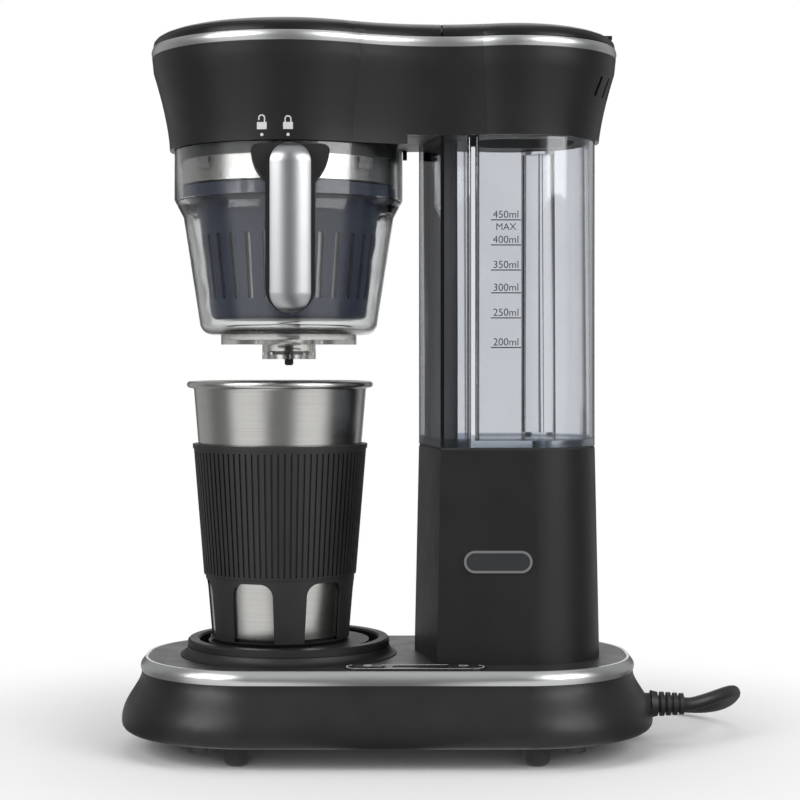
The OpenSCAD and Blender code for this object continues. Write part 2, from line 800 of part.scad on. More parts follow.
seal_r = 8;
module head_floor() color("#141517") difference() {
    union() {
        two_lobes(upright(hundredth(floor_inset), floor_z, floor_top));
        translate([brew_x, 0, splash_z]) difference() {
            cylinder(r = bucket_r - bucket_wall - run_gap, h = floor_z - splash_z + wall / 2);
            translate([0, 0, -cut]) cylinder(r = ring_r + fit_gap, h = floor_z - splash_z + cut);
        }
    }
    fill_hole(floor_z - cut, floor_top + cut, 0);
    translate([0, 0, floor_z - cut]) {
        translate([riser_x, hose_y, 0]) cylinder(r = hose_r + run_gap, h = wall + 2 * cut);
        linear_extrude(wall + 2 * cut) conduit_outline(run_gap);
        translate([spout_x, hose_y, 0]) cylinder(r = hose_r + spout_wall + fit_gap, h = wall + 2 * cut);
        translate([brew_x, 0, 0]) cylinder(r = seal_r + fit_gap, h = wall + 2 * cut);
    }
}

head_trim_w = 3;
head_trim_bulge = 0.7;
module head_trim() color("silver") difference() {
    two_lobes([
        for (i = [0 : trim_steps])
            let (t = i / trim_steps)
            [hundredth(dome_edge - head_trim_bulge * sin(180 * t)), hundredth(head_top + head_trim_h * t)]
    ]);
    two_lobes(upright(head_trim_w, head_top - cut, cover_z + cut));
}

// Top cover and the lid hinged on it
hinge_x = 24;
knuckle_r = 2.2;
hinge_drop = knuckle_r;
hinge_z = crown_z - hinge_drop;
hinge_groove = hinge_drop * (1 + max(0, -cos(lid_turn))) + 2 * run_gap;
hinge_pin_r = 1.2;
lug_y = 14;
lug_w = 5;
groove_y = lug_y + lug_w + 12;
lid_gap = 0.4;
dome_rim = 6;
lid_edge = hinge_x + lid_gap;
cover_edge = hinge_x - hinge_groove;
module left_of(x) translate([x - 2 * lobe_gap, -lobe_gap, 0]) cube([2 * lobe_gap, 2 * lobe_gap, 2 * crown_z]);
module right_of(x) translate([x, -lobe_gap, 0]) cube([2 * lobe_gap, 2 * lobe_gap, 2 * crown_z]);
module along_hinge(y, l, r) translate([hinge_x, y + l, hinge_z]) rotate([90, 0, 0]) cylinder(r = r, h = l);
module top_cover() color("#0a0a0b") difference() {
    union() {
        two_lobes(upright(head_trim_w + deck_gap, cover_z - wall, cover_z));
        intersection() {
            two_lobes(dome_side(cover_z, 0, 0));
            difference() {
                left_of(lid_edge - 2 * lid_gap);
                translate([cover_edge, -groove_y, 0]) cube([lobe_gap, 2 * groove_y, 2 * crown_z]);
            }
        }
        for (y = [lug_y, -lug_y - lug_w]) {
            translate([hinge_x - knuckle_r, y, cover_z - wall / 2])
                cube([2 * knuckle_r, lug_w, hinge_z - cover_z + wall / 2]);
            along_hinge(y, lug_w, knuckle_r);
        }
    }
    intersection() {
        two_lobes(dome_side(cover_z - wall - cut, dome_rim, wall));
        left_of(cover_edge - wall);
    }
    fill_hole(cover_z - wall - cut, cover_z + cut, 0);
    along_hinge(-lug_y - lug_w - cut, 2 * (lug_y + lug_w + cut), hinge_pin_r + fit_gap / 2);
}
module lid_hinge_pin() color("silver") along_hinge(-lug_y - lug_w, 2 * (lug_y + lug_w), hinge_pin_r);

tab_w = 16;
tab_h = 1.8;
tab_in = 8;
tab_l = 5.7;
tab_rise = 4.2;
module tank_lid() color("#0a0a0b") difference() {
    union() {
        difference() {
            intersection() {
                two_lobes(dome_side(cover_z + run_gap, 0, 0));
                right_of(lid_edge);
            }
            intersection() {
                two_lobes(dome_side(cover_z - cut, wall, wall));
                right_of(lid_edge + wall);
            }
        }
        translate([hinge_x, -lug_y + 2 * lid_gap, hinge_z - knuckle_r])
            cube([wall + lid_gap, 2 * lug_y - 4 * lid_gap, 2 * knuckle_r]);
        along_hinge(-lug_y + 2 * lid_gap, 2 * lug_y - 4 * lid_gap, knuckle_r);
        translate([lobe_x + head_r2 - tab_in, -tab_w / 2, cover_z + tab_rise]) cube([tab_l, tab_w, tab_h]);
    }
    along_hinge(-lug_y - lug_w, 2 * (lug_y + lug_w), hinge_pin_r + pin_gap);
    for (y = [lug_y, -lug_y - lug_w]) {
        translate([hinge_x - knuckle_r, y - lid_gap, cover_z - cut])
            cube([2 * knuckle_r + lid_gap, lug_w + 2 * lid_gap, hinge_z - cover_z + cut]);
        along_hinge(y - lid_gap, lug_w + 2 * lid_gap, knuckle_r + lid_gap);
    }
}

// Grinder motor, its shaft and the blade
shaft_r = 2.5;
motor_r = 24;
motor_plate_r = 32;
motor_h = 30;
motor_z = floor_top + wall;
blade_up = 15;
blade_z = cone_z + blade_up;
blade_reach = 27;
blade_w = 9;
blade_tip = 8;
blade_overlap = 2;
blade_pitch = 8;
blade_bend = 28;
blade_t = 1.2;
nut_h = 5;
nut_r = 4.6;
nut_gap = 0.7;
motor_screw_r = 28;
module at_motor_screws() for (a = [30 : 120 : 270]) rotate(a) translate([motor_screw_r, 0, 0]) children();
module motor_plate() color("#8d9297") translate([brew_x, 0, floor_top]) difference() {
    cylinder(r = motor_plate_r, h = wall);
    translate([0, 0, -cut]) cylinder(r = seal_r + fit_gap, h = wall + 2 * cut);
    translate([spout_reach, hose_y, -cut]) cylinder(r = hose_r + 3 * spout_wall, h = wall + 2 * cut);
    at_motor_screws() translate([0, 0, -cut]) cylinder(r = screw_r + fit_gap, h = wall + 2 * cut);
}
module motor_screws() color("silver") translate([brew_x, 0, floor_top]) at_motor_screws() {
    cylinder(r = screw_r, h = wall);
    translate([0, 0, wall]) cylinder(r = screw_head_r, h = screw_head_h);
}
motor_bearing_l = 20;
module motor_can() color("#5d6268") translate([brew_x, 0, motor_z]) difference() {
    union() {
        cylinder(r = motor_r, h = motor_h - 4);
        cylinder(r = motor_r / 2, h = motor_h);
    }
    translate([0, 0, -cut]) cylinder(r = shaft_r + pin_gap, h = motor_bearing_l + cut);
}
module shaft_seal() color("#161616") translate([brew_x, 0, floor_z]) difference() {
    union() {
        cylinder(r = seal_r, h = 2 * wall);
        translate([0, 0, -wall]) cylinder(r = seal_r - 2, h = wall + 1);
    }
    translate([0, 0, -wall - cut]) cylinder(r = shaft_r + pin_gap, h = 3 * wall + 2 * cut);
}
module motor_shaft() color("#aeb3b8") translate([brew_x, 0, blade_z - nut_h - 1])
    cylinder(r = shaft_r, h = motor_z + motor_bearing_l - run_gap - blade_z + nut_h + 1);
module grinder_blade() color("gainsboro") translate([brew_x, 0, blade_z]) difference() {
    union() {
        cylinder(r = 2 * shaft_r + 1, h = blade_t + 2);
        for (turn = [0, 180]) rotate(turn) {
            rotate([blade_pitch, 0, 0]) translate([0, -blade_w / 2, 0])
                cube([blade_reach - blade_tip + blade_overlap, blade_w, blade_t]);
            translate([blade_reach - blade_tip, 0, 0]) rotate([blade_pitch, -blade_bend, 0])
                translate([0, -blade_w / 2, 0]) cube([blade_tip, blade_w, blade_t]);
        }
    }
    translate([0, 0, -nut_h]) cylinder(r = shaft_r + press_gap, h = 2 * nut_h + blade_t);
}
module blade_nut() color("silver") translate([brew_x, 0, blade_z - nut_h]) difference() {
    cylinder(r = nut_r, h = nut_h - nut_gap, $fn = 6);
    translate([0, 0, -cut]) cylinder(r = shaft_r + press_gap, h = nut_h + 2 * cut);
}
interlock_left = 38;
interlock_x = brew_x - interlock_left;
module interlock_switch() color("#303236") translate([interlock_x, 0, floor_top]) {
    translate([-3, -10, 0]) cube([6, 20, 10]);
    translate([-1.5, -8, 9]) cube([3, 12, 2.5]);
}

// Bayonet: the ring's lugs carry the bucket's lugs
ring_gap = 1.7;
ring_t = 1;
ring_r = bucket_r - bucket_wall - ring_gap;
ring_up = 6.5;
ring_low = band_z + ring_up;
lug_turn = lock_turn - 2;
lug_h = 2.4;
ring_lug_down = 10.5;
ring_lug_z = bucket_top - ring_lug_down;
bucket_lug_z = ring_lug_z + lug_h + run_gap;
lug_start = 45;
splash_z = bucket_lug_z + lug_h + 3 * run_gap;
module four_lugs(inner, outer, z) for (k = [0 : 3])
    rotate(lug_start + 90 * k - lug_turn / 2) rotate_extrude(angle = lug_turn)
        translate([inner, z]) square([outer - inner, lug_h]);
ring_flange_r = 42;
module bayonet_ring() color("gainsboro") translate([brew_x, 0, 0]) {
    rotate_extrude() polygon([
        [ring_r - ring_t, ring_low],
        [ring_r, ring_low],
        [ring_r, floor_z],
        [ring_flange_r, floor_z],
        [ring_flange_r, floor_z - ring_t],
        [ring_r - ring_t, floor_z - ring_t]
    ]);
    four_lugs(ring_r - ring_t / 2, bucket_r - bucket_wall - run_gap, ring_lug_z);
}

// Brew holder: clear bucket, filter, handle and drip valve
cone_r = bucket_r - 4.2;
step_r = bucket_foot_r - 9.7;
collar_r = 12.2;
pin_r = 2;
ledge_r = bucket_r - 5;
function corner_arc(r) = [
    for (a = [0 : -18 : -90])
        [bucket_foot_r - bucket_round + r * cos(a), cone_z + r * sin(a)]
];
notch_count = 8;
notch_w = 2;
notch_h = bucket_wall + 1;
handle_down = 2.7;
handle_z = bucket_top - handle_down - handle_l;
wing_out = 6.2;
wing_r = handle_w / 2 + wing_out;
wing_flat = 2;
wing_down = 3;
wing_round = 3;
wing_in_r = wing_r - wing_round;
wing_top = bucket_top - wing_down;
handle_screw_r = 1.3;
handle_screw_in = [4.5, 7.5];
handle_screw_z = [band_z + handle_screw_in[0], bucket_top - handle_screw_in[1]];
module at_brew() translate([brew_x, 0, 0]) children();
module at_handle() at_brew() rotate(handle_turn) children();
module holder_bucket() color("#d9dde0", 0.35) at_brew() difference() {
    union() {
        rotate_extrude() polygon(concat(
            [[bucket_r, bucket_top], [bucket_r, band_z], [cone_r, shoulder_z]],
            corner_arc(bucket_round),
            [
                [step_r, bucket_z],
                [step_r, step_z],
                [collar_r, step_z],
                [collar_r, collar_z],
                [pin_r + pin_gap, collar_z],
                [pin_r + pin_gap, collar_z + bucket_wall],
                [collar_r - bucket_wall, collar_z + bucket_wall],
                [collar_r - bucket_wall, step_z + bucket_wall],
                [step_r - bucket_wall, step_z + bucket_wall],
                [step_r - bucket_wall, bucket_z + bucket_wall]
            ],
            reversed(corner_arc(bucket_round - bucket_wall)),
            [
                [cone_r - bucket_wall, shoulder_z],
                [ledge_r, band_z],
                [bucket_r - bucket_wall, band_z],
                [bucket_r - bucket_wall, bucket_top]
            ]
        ));
        four_lugs(ring_r + run_gap, bucket_r - bucket_wall / 2, bucket_lug_z);
    }
    for (k = [0 : notch_count - 1]) rotate(360 * k / notch_count)
        translate([collar_r - bucket_wall - cut, -notch_w / 2, collar_z - cut])
            cube([bucket_wall + 2 * cut, notch_w, notch_h + cut]);
    rotate(handle_turn) for (z = handle_screw_z)
        translate([0, -bucket_r + 2 * bucket_wall, z]) rotate([90, 0, 0])
            cylinder(r = handle_screw_r + fit_gap, h = 3 * bucket_wall);
}

flange_r = ring_r;
flange_h = 5.5;
basket_wall = 1.8;
basket_r = bucket_foot_r;
basket_foot_r = basket_r - 5.2;
basket_round = 3;
basket_z = cone_z + 1;
slot_z = basket_z + 9;
slot_h = 29;
slot_w = 2.6;
function basket_r_at(z) =
    basket_foot_r + (basket_r - basket_foot_r) * (z - basket_z) / (shoulder_z - basket_z);
module filter_basket() color("#1d2233") at_brew() difference() {
    rotate_extrude() polygon(concat([
        [flange_r, band_z + flange_h],
        [flange_r, band_z],
        [basket_r + 3.4, band_z],
        [basket_r, shoulder_z]
    ], [
        for (a = [0 : -22.5 : -90])
            [
                hundredth(basket_foot_r - basket_round * (1 - cos(a))),
                hundredth(basket_z + basket_round * (1 + sin(a)))
            ]
    ], [
        [0, basket_z],
        [0, basket_z + basket_wall],
        [basket_r_at(basket_z + basket_wall) - basket_wall, basket_z + basket_wall],
        [basket_r - basket_wall, shoulder_z],
        [basket_r + 3.4 - basket_wall, band_z],
        [flange_r - basket_wall, band_z + flange_h]
    ]));
    for (k = [0 : slot_count - 1]) rotate(360 * (k + 0.5) / slot_count)
        translate([basket_foot_r - 2 * basket_wall, -slot_w / 2, slot_z])
            cube([bucket_r - basket_foot_r, slot_w, slot_h]);
}
mesh_t = 0.4;
module filter_mesh() color("#8f9498") at_brew() {
    low = slot_z - 2;
    high = slot_z + slot_h + 2;
    rotate_extrude() polygon([
        for (p = [[low, 0], [high, 0], [high, mesh_t], [low, mesh_t]])
            [basket_r_at(p[0]) - basket_wall - fit_gap - p[1], p[0]]
    ]);
}

grip_r = 8.7;
core_t = 3.3;
wing_in = 8;
grip_y = -hundredth((handle_reach - grip_r) / cos(handle_turn));
module wing_outline() intersection() {
    translate([0, wing_top - wing_flat]) circle(r = wing_r);
    union() {
        translate([-wing_r, wing_top - 2 * wing_r]) square([2 * wing_r, 2 * wing_r - wing_round]);
        translate([-wing_in_r, wing_top - wing_round]) square([2 * wing_in_r, wing_round]);
        for (s = [-1, 1]) translate([s * wing_in_r, wing_top - wing_round]) circle(r = wing_round);
    }
}
module handle_core() color("#0e0e0f") at_handle() difference() {
    union() {
        translate([0, grip_y + core_t, handle_z + handle_l / 2]) rotate([90, 90, 0])
            linear_extrude(core_t) lozenge(handle_l, handle_w);
        translate([0, -bucket_r + wing_in, 0]) rotate([90, 0, 0])
            linear_extrude(-grip_y - bucket_r + wing_in - core_t / 2) wing_outline();
    }
    translate([0, 0, band_z - bucket_band_h]) cylinder(r = bucket_r + fit_gap, h = 3 * bucket_band_h);
    for (z = handle_screw_z) translate([0, -bucket_r + bucket_wall, z]) rotate([90, 0, 0])
        cylinder(r = handle_screw_r + fit_gap / 2, h = 10 + bucket_wall);
}
module handle_cap() color("silver") at_handle() translate([0, grip_y, handle_z]) rotate(180)
    rotate_extrude(angle = 180) polygon(concat(
        [for (a = [-90 : 10 : 0]) [hundredth(grip_r * cos(a)), hundredth(grip_r + grip_r * sin(a))]],
        [for (a = [0 : 10 : 90]) [hundredth(grip_r * cos(a)), hundredth(handle_l - grip_r + grip_r * sin(a))]]
    ));
module handle_screws() color("silver") at_handle() for (z = handle_screw_z)
    translate([0, -bucket_r + bucket_wall + 1.2, z]) rotate([90, 0, 0]) {
        cylinder(r = handle_screw_r + 1.2, h = 1);
        cylinder(r = handle_screw_r, h = 10);
    }

seal_t = 1.5;
valve_seat_z = collar_z + bucket_wall;
module drip_pin() color("#2b2d30") at_brew() rotate_extrude() polygon([
    [0, pin_z],
    [pin_r - 0.6, pin_z],
    [pin_r, pin_z + 0.6],
    [pin_r, valve_seat_z + seal_t + 2.5],
    [0, valve_seat_z + seal_t + 2.5]
]);
module valve_seal() color("#b23a2c") at_brew() translate([0, 0, valve_seat_z + fit_gap]) difference() {
    cylinder(r = collar_r - bucket_wall - 1.2, h = seal_t);
    translate([0, 0, -cut]) cylinder(r = pin_r + press_gap, h = seal_t + 2 * cut);
}

// A round tube along a list of points: rings of corners, joined by triangles and closed at both ends
function along(path, i) =
    let (d = path[min(i + 1, len(path) - 1)] - path[max(i - 1, 0)])
    d / norm(d);
function tube_points(path, r, sides) = [
    for (i = [0 : len(path) - 1])
        let (t = along(path, i), side = cross(t, [0, 0, 1]) / norm(cross(t, [0, 0, 1])), up = cross(side, t))
        for (j = [0 : sides - 1])
            path[i] + r * (cos(360 * j / sides) * side + sin(360 * j / sides) * up)
];
function tube_faces(rings, sides) = concat(
    [for (k = [1 : sides - 2]) [0, k + 1, k]],
    [
        for (i = [0 : rings - 2], j = [0 : sides - 1], half = [0, 1])
            let (a = i * sides + j, d = i * sides + (j + 1) % sides, b = a + sides, c = d + sides)
            half == 0 ? [a, d, c] : [a, c, b]
    ],
    [for (k = [1 : sides - 2]) let (e = (rings - 1) * sides) [e, e + k, e + k + 1]]
);
module tube(path, r, sides) {
    polyhedron(tube_points(path, r, sides), tube_faces(len(path), sides));
}
// Least gap of a tube to itself, between points that lie more than a loop's quarter apart
function least_gap(path, dia, skip) = min([
    for (i = [0 : len(path) - 1 - skip], j = [i + skip : len(path) - 1])
        norm(path[i] - path[j])
]) - dia;

spring_wire = 0.9;
spring_r = 5;
spring_curls = 5;
spring_low = valve_seat_z + fit_gap + seal_t + run_gap + spring_wire / 2;
spring_high = basket_z - run_gap - spring_wire / 2;
curl_rings = 8;
spring_path = [
    for (i = [0 : spring_curls * curl_rings])
        let (a = 360 * i / curl_rings)
        [spring_r * cos(a), spring_r * sin(a),
            spring_low + (spring_high - spring_low) * i / (spring_curls * curl_rings)]
];
module valve_spring() color("silver") at_brew() tube(spring_path, spring_wire / 2, 6);

// Steel cup and its sleeve, set a little to the left and back on the stand
cup_x = brew_x - 4.1;
cup_y = 2;
cup_lip = 4;
cup_gap = 0.1;
function cup_r_at(z) = cup_foot_r + (cup_r - cup_foot_r) * (z - cup_z) / (cup_h - cup_lip);
module at_cup() translate([cup_x, cup_y, cup_gap]) children();
foot_bend = 1.4;
module steel_cup() color("gainsboro") at_cup() {
    rotate_extrude() polygon([
        [0, cup_z],
        [cup_foot_r - foot_bend, cup_z],
        [cup_foot_r, cup_z + foot_bend],
        [cup_r, cup_top - cup_lip],
        [cup_r + cup_bead_r, cup_top - cup_bead_r],
        [cup_r + cup_bead_r - cup_wall, cup_top - cup_bead_r],
        [cup_r - cup_wall, cup_top - cup_lip],
        [cup_foot_r - cup_wall, cup_z + foot_bend + cup_wall],
        [cup_foot_r - foot_bend - cup_wall, cup_z + cup_wall],
        [0, cup_z + cup_wall]
    ]);
    rotate_extrude() translate([cup_r + cup_bead_r, cup_top - cup_bead_r]) circle(r = cup_bead_r);
}

sleeve_top = cup_floor + sleeve_h;
skirt_top = cup_floor + sleeve_skirt_h;
band_t = 2.2;
band_lip = 0.4;
band_lip_h = 2;
sleeve_hole_r = 22;
rib_depth = 0.7;
rib_gap_w = 1;
rib_end = 1;
rib_l = sleeve_top - band_lip_h - skirt_top - 2 * rib_end;
cup_taper = atan((cup_r - cup_foot_r) / (cup_h - cup_lip));
arch_turn = 35.5;
arch_start = -109;
arch_w = 2 * (cup_foot_r + sleeve_wall) * sin(arch_turn / 2);
arch_edge = 2;
arch_round = 5.5;
module sleeve_arch() {
    low = cup_floor + sleeve_wall;
    high = skirt_top - arch_edge;
    translate([-arch_w / 2, low]) square([arch_w, high - arch_round - low]);
    translate([arch_round - arch_w / 2, low]) square([arch_w - 2 * arch_round, high - low]);
    for (s = [-1, 1]) translate([s * (arch_w / 2 - arch_round), high - arch_round]) circle(r = arch_round);
}
module cup_sleeve() color("#141415") at_cup() difference() {
    rotate_extrude() polygon([
        [sleeve_hole_r, cup_floor],
        [cup_foot_r + sleeve_wall - foot_bend, cup_floor],
        [cup_foot_r + sleeve_wall, cup_floor + foot_bend],
        [cup_r_at(skirt_top) + sleeve_wall, skirt_top],
        [cup_r_at(skirt_top) + band_t, skirt_top],
        [cup_r_at(sleeve_top - band_lip_h) + band_t, sleeve_top - band_lip_h],
        [cup_r_at(sleeve_top - band_lip_h) + band_t + band_lip, sleeve_top - band_lip_h],
        [cup_r_at(sleeve_top) + band_t + band_lip, sleeve_top],
        [cup_r_at(sleeve_top) + fit_gap, sleeve_top],
        [cup_foot_r + fit_gap, cup_z],
        [cup_foot_r + fit_gap, cup_z - fit_gap],
        [sleeve_hole_r, cup_z - fit_gap]
    ]);
    for (i = [0 : rib_count - 1]) rotate(360 * (i + 0.5) / rib_count)
        translate([cup_r_at(skirt_top) + band_t - rib_depth, -rib_gap_w / 2, skirt_top + rib_end])
            rotate([0, cup_taper, 0]) cube([3, rib_gap_w, rib_l]);
    for (k = [0 : arch_count - 1]) rotate(arch_start + 360 * k / arch_count)
        rotate([90, 0, 90]) linear_extrude(cup_r + 10) sleeve_arch();
}

// Cord: out of the strain relief, down to the table, round behind the base and into a tied coil
relief_out = base_w / 2 + fit_gap;
relief_tip = base_w / 2 + 15;
relief_in = base_w / 2 - base_flare - 1;
relief_grip = 1.2;
relief_core_r = cord_dia / 2 + 0.9;
relief_collar = 3;
relief_ribs = 4;
relief_rib_step = (relief_tip - relief_out - relief_collar) / relief_ribs;
relief_rib_r = [5.5, 5.3, 5.1, 4.9];
module strain_relief() color("#1a1a1b") translate([0, 0, relief_z]) rotate([0, 90, 0]) {
    translate([0, 0, relief_in - 2]) cylinder(r = relief_r + relief_grip, h = 2);
    translate([0, 0, relief_in]) cylinder(r = relief_r, h = relief_out - relief_in + 1);
    translate([0, 0, relief_out]) cylinder(r = relief_core_r, h = relief_tip - relief_out);
    translate([0, 0, relief_out])
        cylinder(r1 = relief_r + relief_grip, r2 = relief_rib_r[0], h = relief_collar);
    for (k = [0 : relief_ribs - 1])
        translate([0, 0, relief_out + relief_collar + relief_rib_step * (k + 0.4)])
            cylinder(r = relief_rib_r[k], h = 0.6 * relief_rib_step);
}

cord_r = cord_dia / 2;
tie_t = 0.5;
lay_z = cord_r + tie_t + run_gap;
lead_y = 86;
lead_route = [
    [relief_tip, 0, relief_z], [139, 0, relief_z], [145.5, 2, 19.8], [152, 6.5, 21], [157.5, 13, 21.4],
    [161.5, 21.5, 20.3], [163.5, 31, 17.6], [163.5, 41, 13.9], [162, 50, 10.3], [158.5, 58.5, 7.3],
    [153, 66, 5.2], [145.5, 72.5, 4.2], [136, 78, lay_z], [125, 82, lay_z], [113, 84.8, lay_z],
    [100, lead_y, lay_z], [86, lead_y, lay_z], [72, lead_y, lay_z], [66, lead_y, lay_z]
];
coil_x = 60;
coil_y = lead_y + coil_r;
coil_pitch = 1.2 * cord_dia;
coil_rings = 24;
coil_all = 2 * coil_turns + 0.5;
coil_in_r = coil_r - coil_pitch * coil_turns;
function coil_radius(turn) =
    turn < coil_turns ? coil_r - coil_pitch * turn
    : turn < coil_turns + 0.5 ? coil_in_r
    : coil_in_r + coil_pitch * (turn - coil_turns - 0.5);
function coil_height(turn) = lay_z + coil_pitch * min(1, max(0, (turn - coil_turns) / 0.5));
plug_z = 9.6;
plug_face = 30;
coil_path = concat(
    [[66, lead_y, lay_z]],
    [
        for (i = [0 : coil_rings * coil_all])
            let (turn = i / coil_rings, a = -90 - 360 * turn)
            [coil_x + coil_radius(turn) * cos(a), coil_y + coil_radius(turn) * sin(a), coil_height(turn)]
    ],
    [[52, lead_y, 10.8], [44, lead_y, 10.2], [36, lead_y, plug_z], [plug_face, lead_y, plug_z]]
);
echo(coil_gap = least_gap(coil_path, cord_dia, 6), spring_gap = least_gap(spring_path, spring_wire, 4));
module cord_lead() color("#1a1a1b") tube(lead_route, cord_r, 8);
module cord_coil() color("#1a1a1b") tube(coil_path, cord_r, 6);

tie_w = 5;
module tie_outline(extra) {
    translate([coil_x - (coil_r + coil_in_r) / 2, lay_z + coil_pitch / 2])
        square([
            coil_r - coil_in_r + cord_dia + 2 * run_gap + 2 * extra,
            coil_pitch + cord_dia + 2 * run_gap + 2 * extra
        ], center = true);
}
module cord_tie() color("#3a3a3c") translate([0, coil_y + tie_w / 2, 0]) rotate([90, 0, 0])
    linear_extrude(tie_w) difference() {
        tie_outline(tie_t);
        tie_outline(0);
    }

plug_l = 28;
plug_w = 34;
plug_r = 11;
plug_edge = 2;
plug_neck = 10;
plug_pin_r = 2.4;
plug_pin_l = 19;
plug_pin_gap = 19;
module plug_body() color("#1a1a1b") translate([0, lead_y, 0]) {
    translate([plug_face - plug_neck - plug_l / 2, 0, 0]) rounded_body(plug_l, plug_w, plug_r, [
        [plug_edge, 0], [0, plug_edge], [0, 2 * plug_z - plug_edge], [plug_edge, 2 * plug_z]
    ]);
    translate([plug_face - plug_neck - 1, 0, plug_z]) rotate([0, 90, 0])
        cylinder(r1 = plug_z - 1.5, r2 = cord_r + 1.2, h = plug_neck + 1);
}
module plug_pins() color("gainsboro") for (s = [-1, 1])
    translate([plug_face - plug_neck - plug_l, lead_y + s * plug_pin_gap / 2, plug_z]) rotate([0, -90, 0]) {
        cylinder(r = plug_pin_r, h = plug_pin_l - 1);
        translate([0, 0, plug_pin_l - 1]) cylinder(r1 = plug_pin_r, r2 = plug_pin_r - 1, h = 1);
    }

module placed() translate([0, shift_y, 0]) children();
placed() base_shell();
placed() base_trim();
placed() deck_plate();
placed() bottom_plate();
placed() bottom_screws();
placed() feet();
placed() cup_stand();
placed() control_bezel();
placed() control_board();
placed() column_shell();
placed() badge_rim();
placed() badge_plate();
placed() heater_bracket();
placed() heater_body();
placed() thermostat();
placed() check_valve();
placed() cold_hose();
placed() hot_riser();
placed() water_spout();
placed() tank_gasket();
placed() tank();
placed() wire_conduit();
placed() head_shell();
placed() head_floor();
placed() head_trim();
placed() top_cover();
placed() fill_well();
placed() lid_hinge_pin();
placed() bayonet_ring();
placed() motor_plate();
placed() motor_screws();
placed() motor_can();
placed() shaft_seal();
placed() interlock_switch();
placed() tank_lid();
placed() motor_shaft();
placed() grinder_blade();
placed() blade_nut();
placed() holder_bucket();
placed() filter_basket();
placed() filter_mesh();
placed() handle_core();
placed() handle_cap();
placed() handle_screws();
placed() valve_spring();
placed() drip_pin();
placed() valve_seal();
placed() steel_cup();
placed() cup_sleeve();
placed() button_left();
placed() button_right();
placed() strain_relief();
placed() cord_lead();
placed() cord_coil();
placed() cord_tie();
placed() plug_body();
placed() plug_pins();
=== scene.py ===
import json
import math

import bpy
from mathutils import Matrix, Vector
from mathutils.bvhtree import BVHTree


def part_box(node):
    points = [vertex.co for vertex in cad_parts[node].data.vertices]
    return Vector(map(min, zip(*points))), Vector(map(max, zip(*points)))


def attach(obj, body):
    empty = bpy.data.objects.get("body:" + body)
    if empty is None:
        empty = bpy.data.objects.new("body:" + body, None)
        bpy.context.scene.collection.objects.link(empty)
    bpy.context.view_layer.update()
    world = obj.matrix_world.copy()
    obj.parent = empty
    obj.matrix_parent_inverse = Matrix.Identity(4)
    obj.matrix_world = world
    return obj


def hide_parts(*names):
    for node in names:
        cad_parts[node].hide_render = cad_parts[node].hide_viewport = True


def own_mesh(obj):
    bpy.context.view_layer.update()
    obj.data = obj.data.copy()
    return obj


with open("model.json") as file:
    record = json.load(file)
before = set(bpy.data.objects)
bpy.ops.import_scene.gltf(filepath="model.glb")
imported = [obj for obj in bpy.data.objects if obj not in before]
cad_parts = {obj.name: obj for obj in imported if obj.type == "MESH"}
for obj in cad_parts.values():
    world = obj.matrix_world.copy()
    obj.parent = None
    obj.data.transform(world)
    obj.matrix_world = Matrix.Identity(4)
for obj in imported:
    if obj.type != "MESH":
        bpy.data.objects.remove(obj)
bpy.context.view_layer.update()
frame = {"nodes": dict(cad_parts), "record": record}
nodes = frame["nodes"]
slot_of = {s["node"]: s["material_slot"] for s in frame["record"]["subparts"]}
scene = bpy.context.scene
scene.view_settings.view_transform = "Standard"

# What all the sections share

MM = 0.001
SHIFT_Y = 6.5  # the machine's shift in the row frame, in mm, as in the part's source
BREW_X = -45  # the brew axis, in mm


def new_object(name, data):
    made = bpy.data.objects.new(name, data)
    scene.collection.objects.link(made)
    return made


def new_mesh(name, points, faces):
    made = bpy.data.meshes.new(name)
    made.from_pydata(points, [], faces)
    return made


def new_piece(name, data, body, slot, *replaced):
    made = new_object(name, data)
    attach(made, body)
    if replaced:
        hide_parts(*replaced)
    return made


# Camera, level, with its picture frame moved down a little

LENS_MM, SENSOR_MM, PICTURE_SHIFT = 87.3, 36, -0.0525
CAMERA_PLACE = (0.0057, -0.8795, 0.1764)
CAMERA_TURN = (math.radians(90), 0, 0)

lens = bpy.data.cameras.new("photo_camera")
lens.lens, lens.sensor_width, lens.shift_y = LENS_MM, SENSOR_MM, PICTURE_SHIFT
camera = new_object("photo_camera", lens)
camera.location, camera.rotation_euler = CAMERA_PLACE, CAMERA_TURN
scene.camera = camera

# Mains cord: out of the strain relief, round behind the base, a coil and the plug, in mm

LEAD = [(135, 0, 18.5), (139, 0, 18.5), (145.5, 2, 19.8), (152, 6.5, 21), (157.5, 13, 21.4),
        (161.5, 21.5, 20.3), (163.5, 31, 17.6), (163.5, 41, 13.9), (162, 50, 10.3), (158.5, 58.5, 7.3),
        (153, 66, 5.2), (145.5, 72.5, 4.2), (136, 78, 3.8), (125, 82, 3.8), (113, 84.8, 3.8),
        (100, 86, 3.8), (86, 86, 3.8), (72, 86, 3.8), (66, 86, 3.8)]
TAIL = [(52, 86, 10.8), (44, 86, 10.2), (36, 86, 9.6), (30, 86, 9.6)]
COIL_X, COIL_Y, COIL_R, COIL_PITCH = 60, 122, 36, 7.2
COIL_LOW, COIL_HIGH, COIL_START = 3.8, 11, -90
COIL_TURNS, CLIMB_TURNS, TURN_STEP = 1.25, 0.5, 1 / 40
CORD_R, LINE_PARTS, ROUND_STEPS = 3, 3, 5


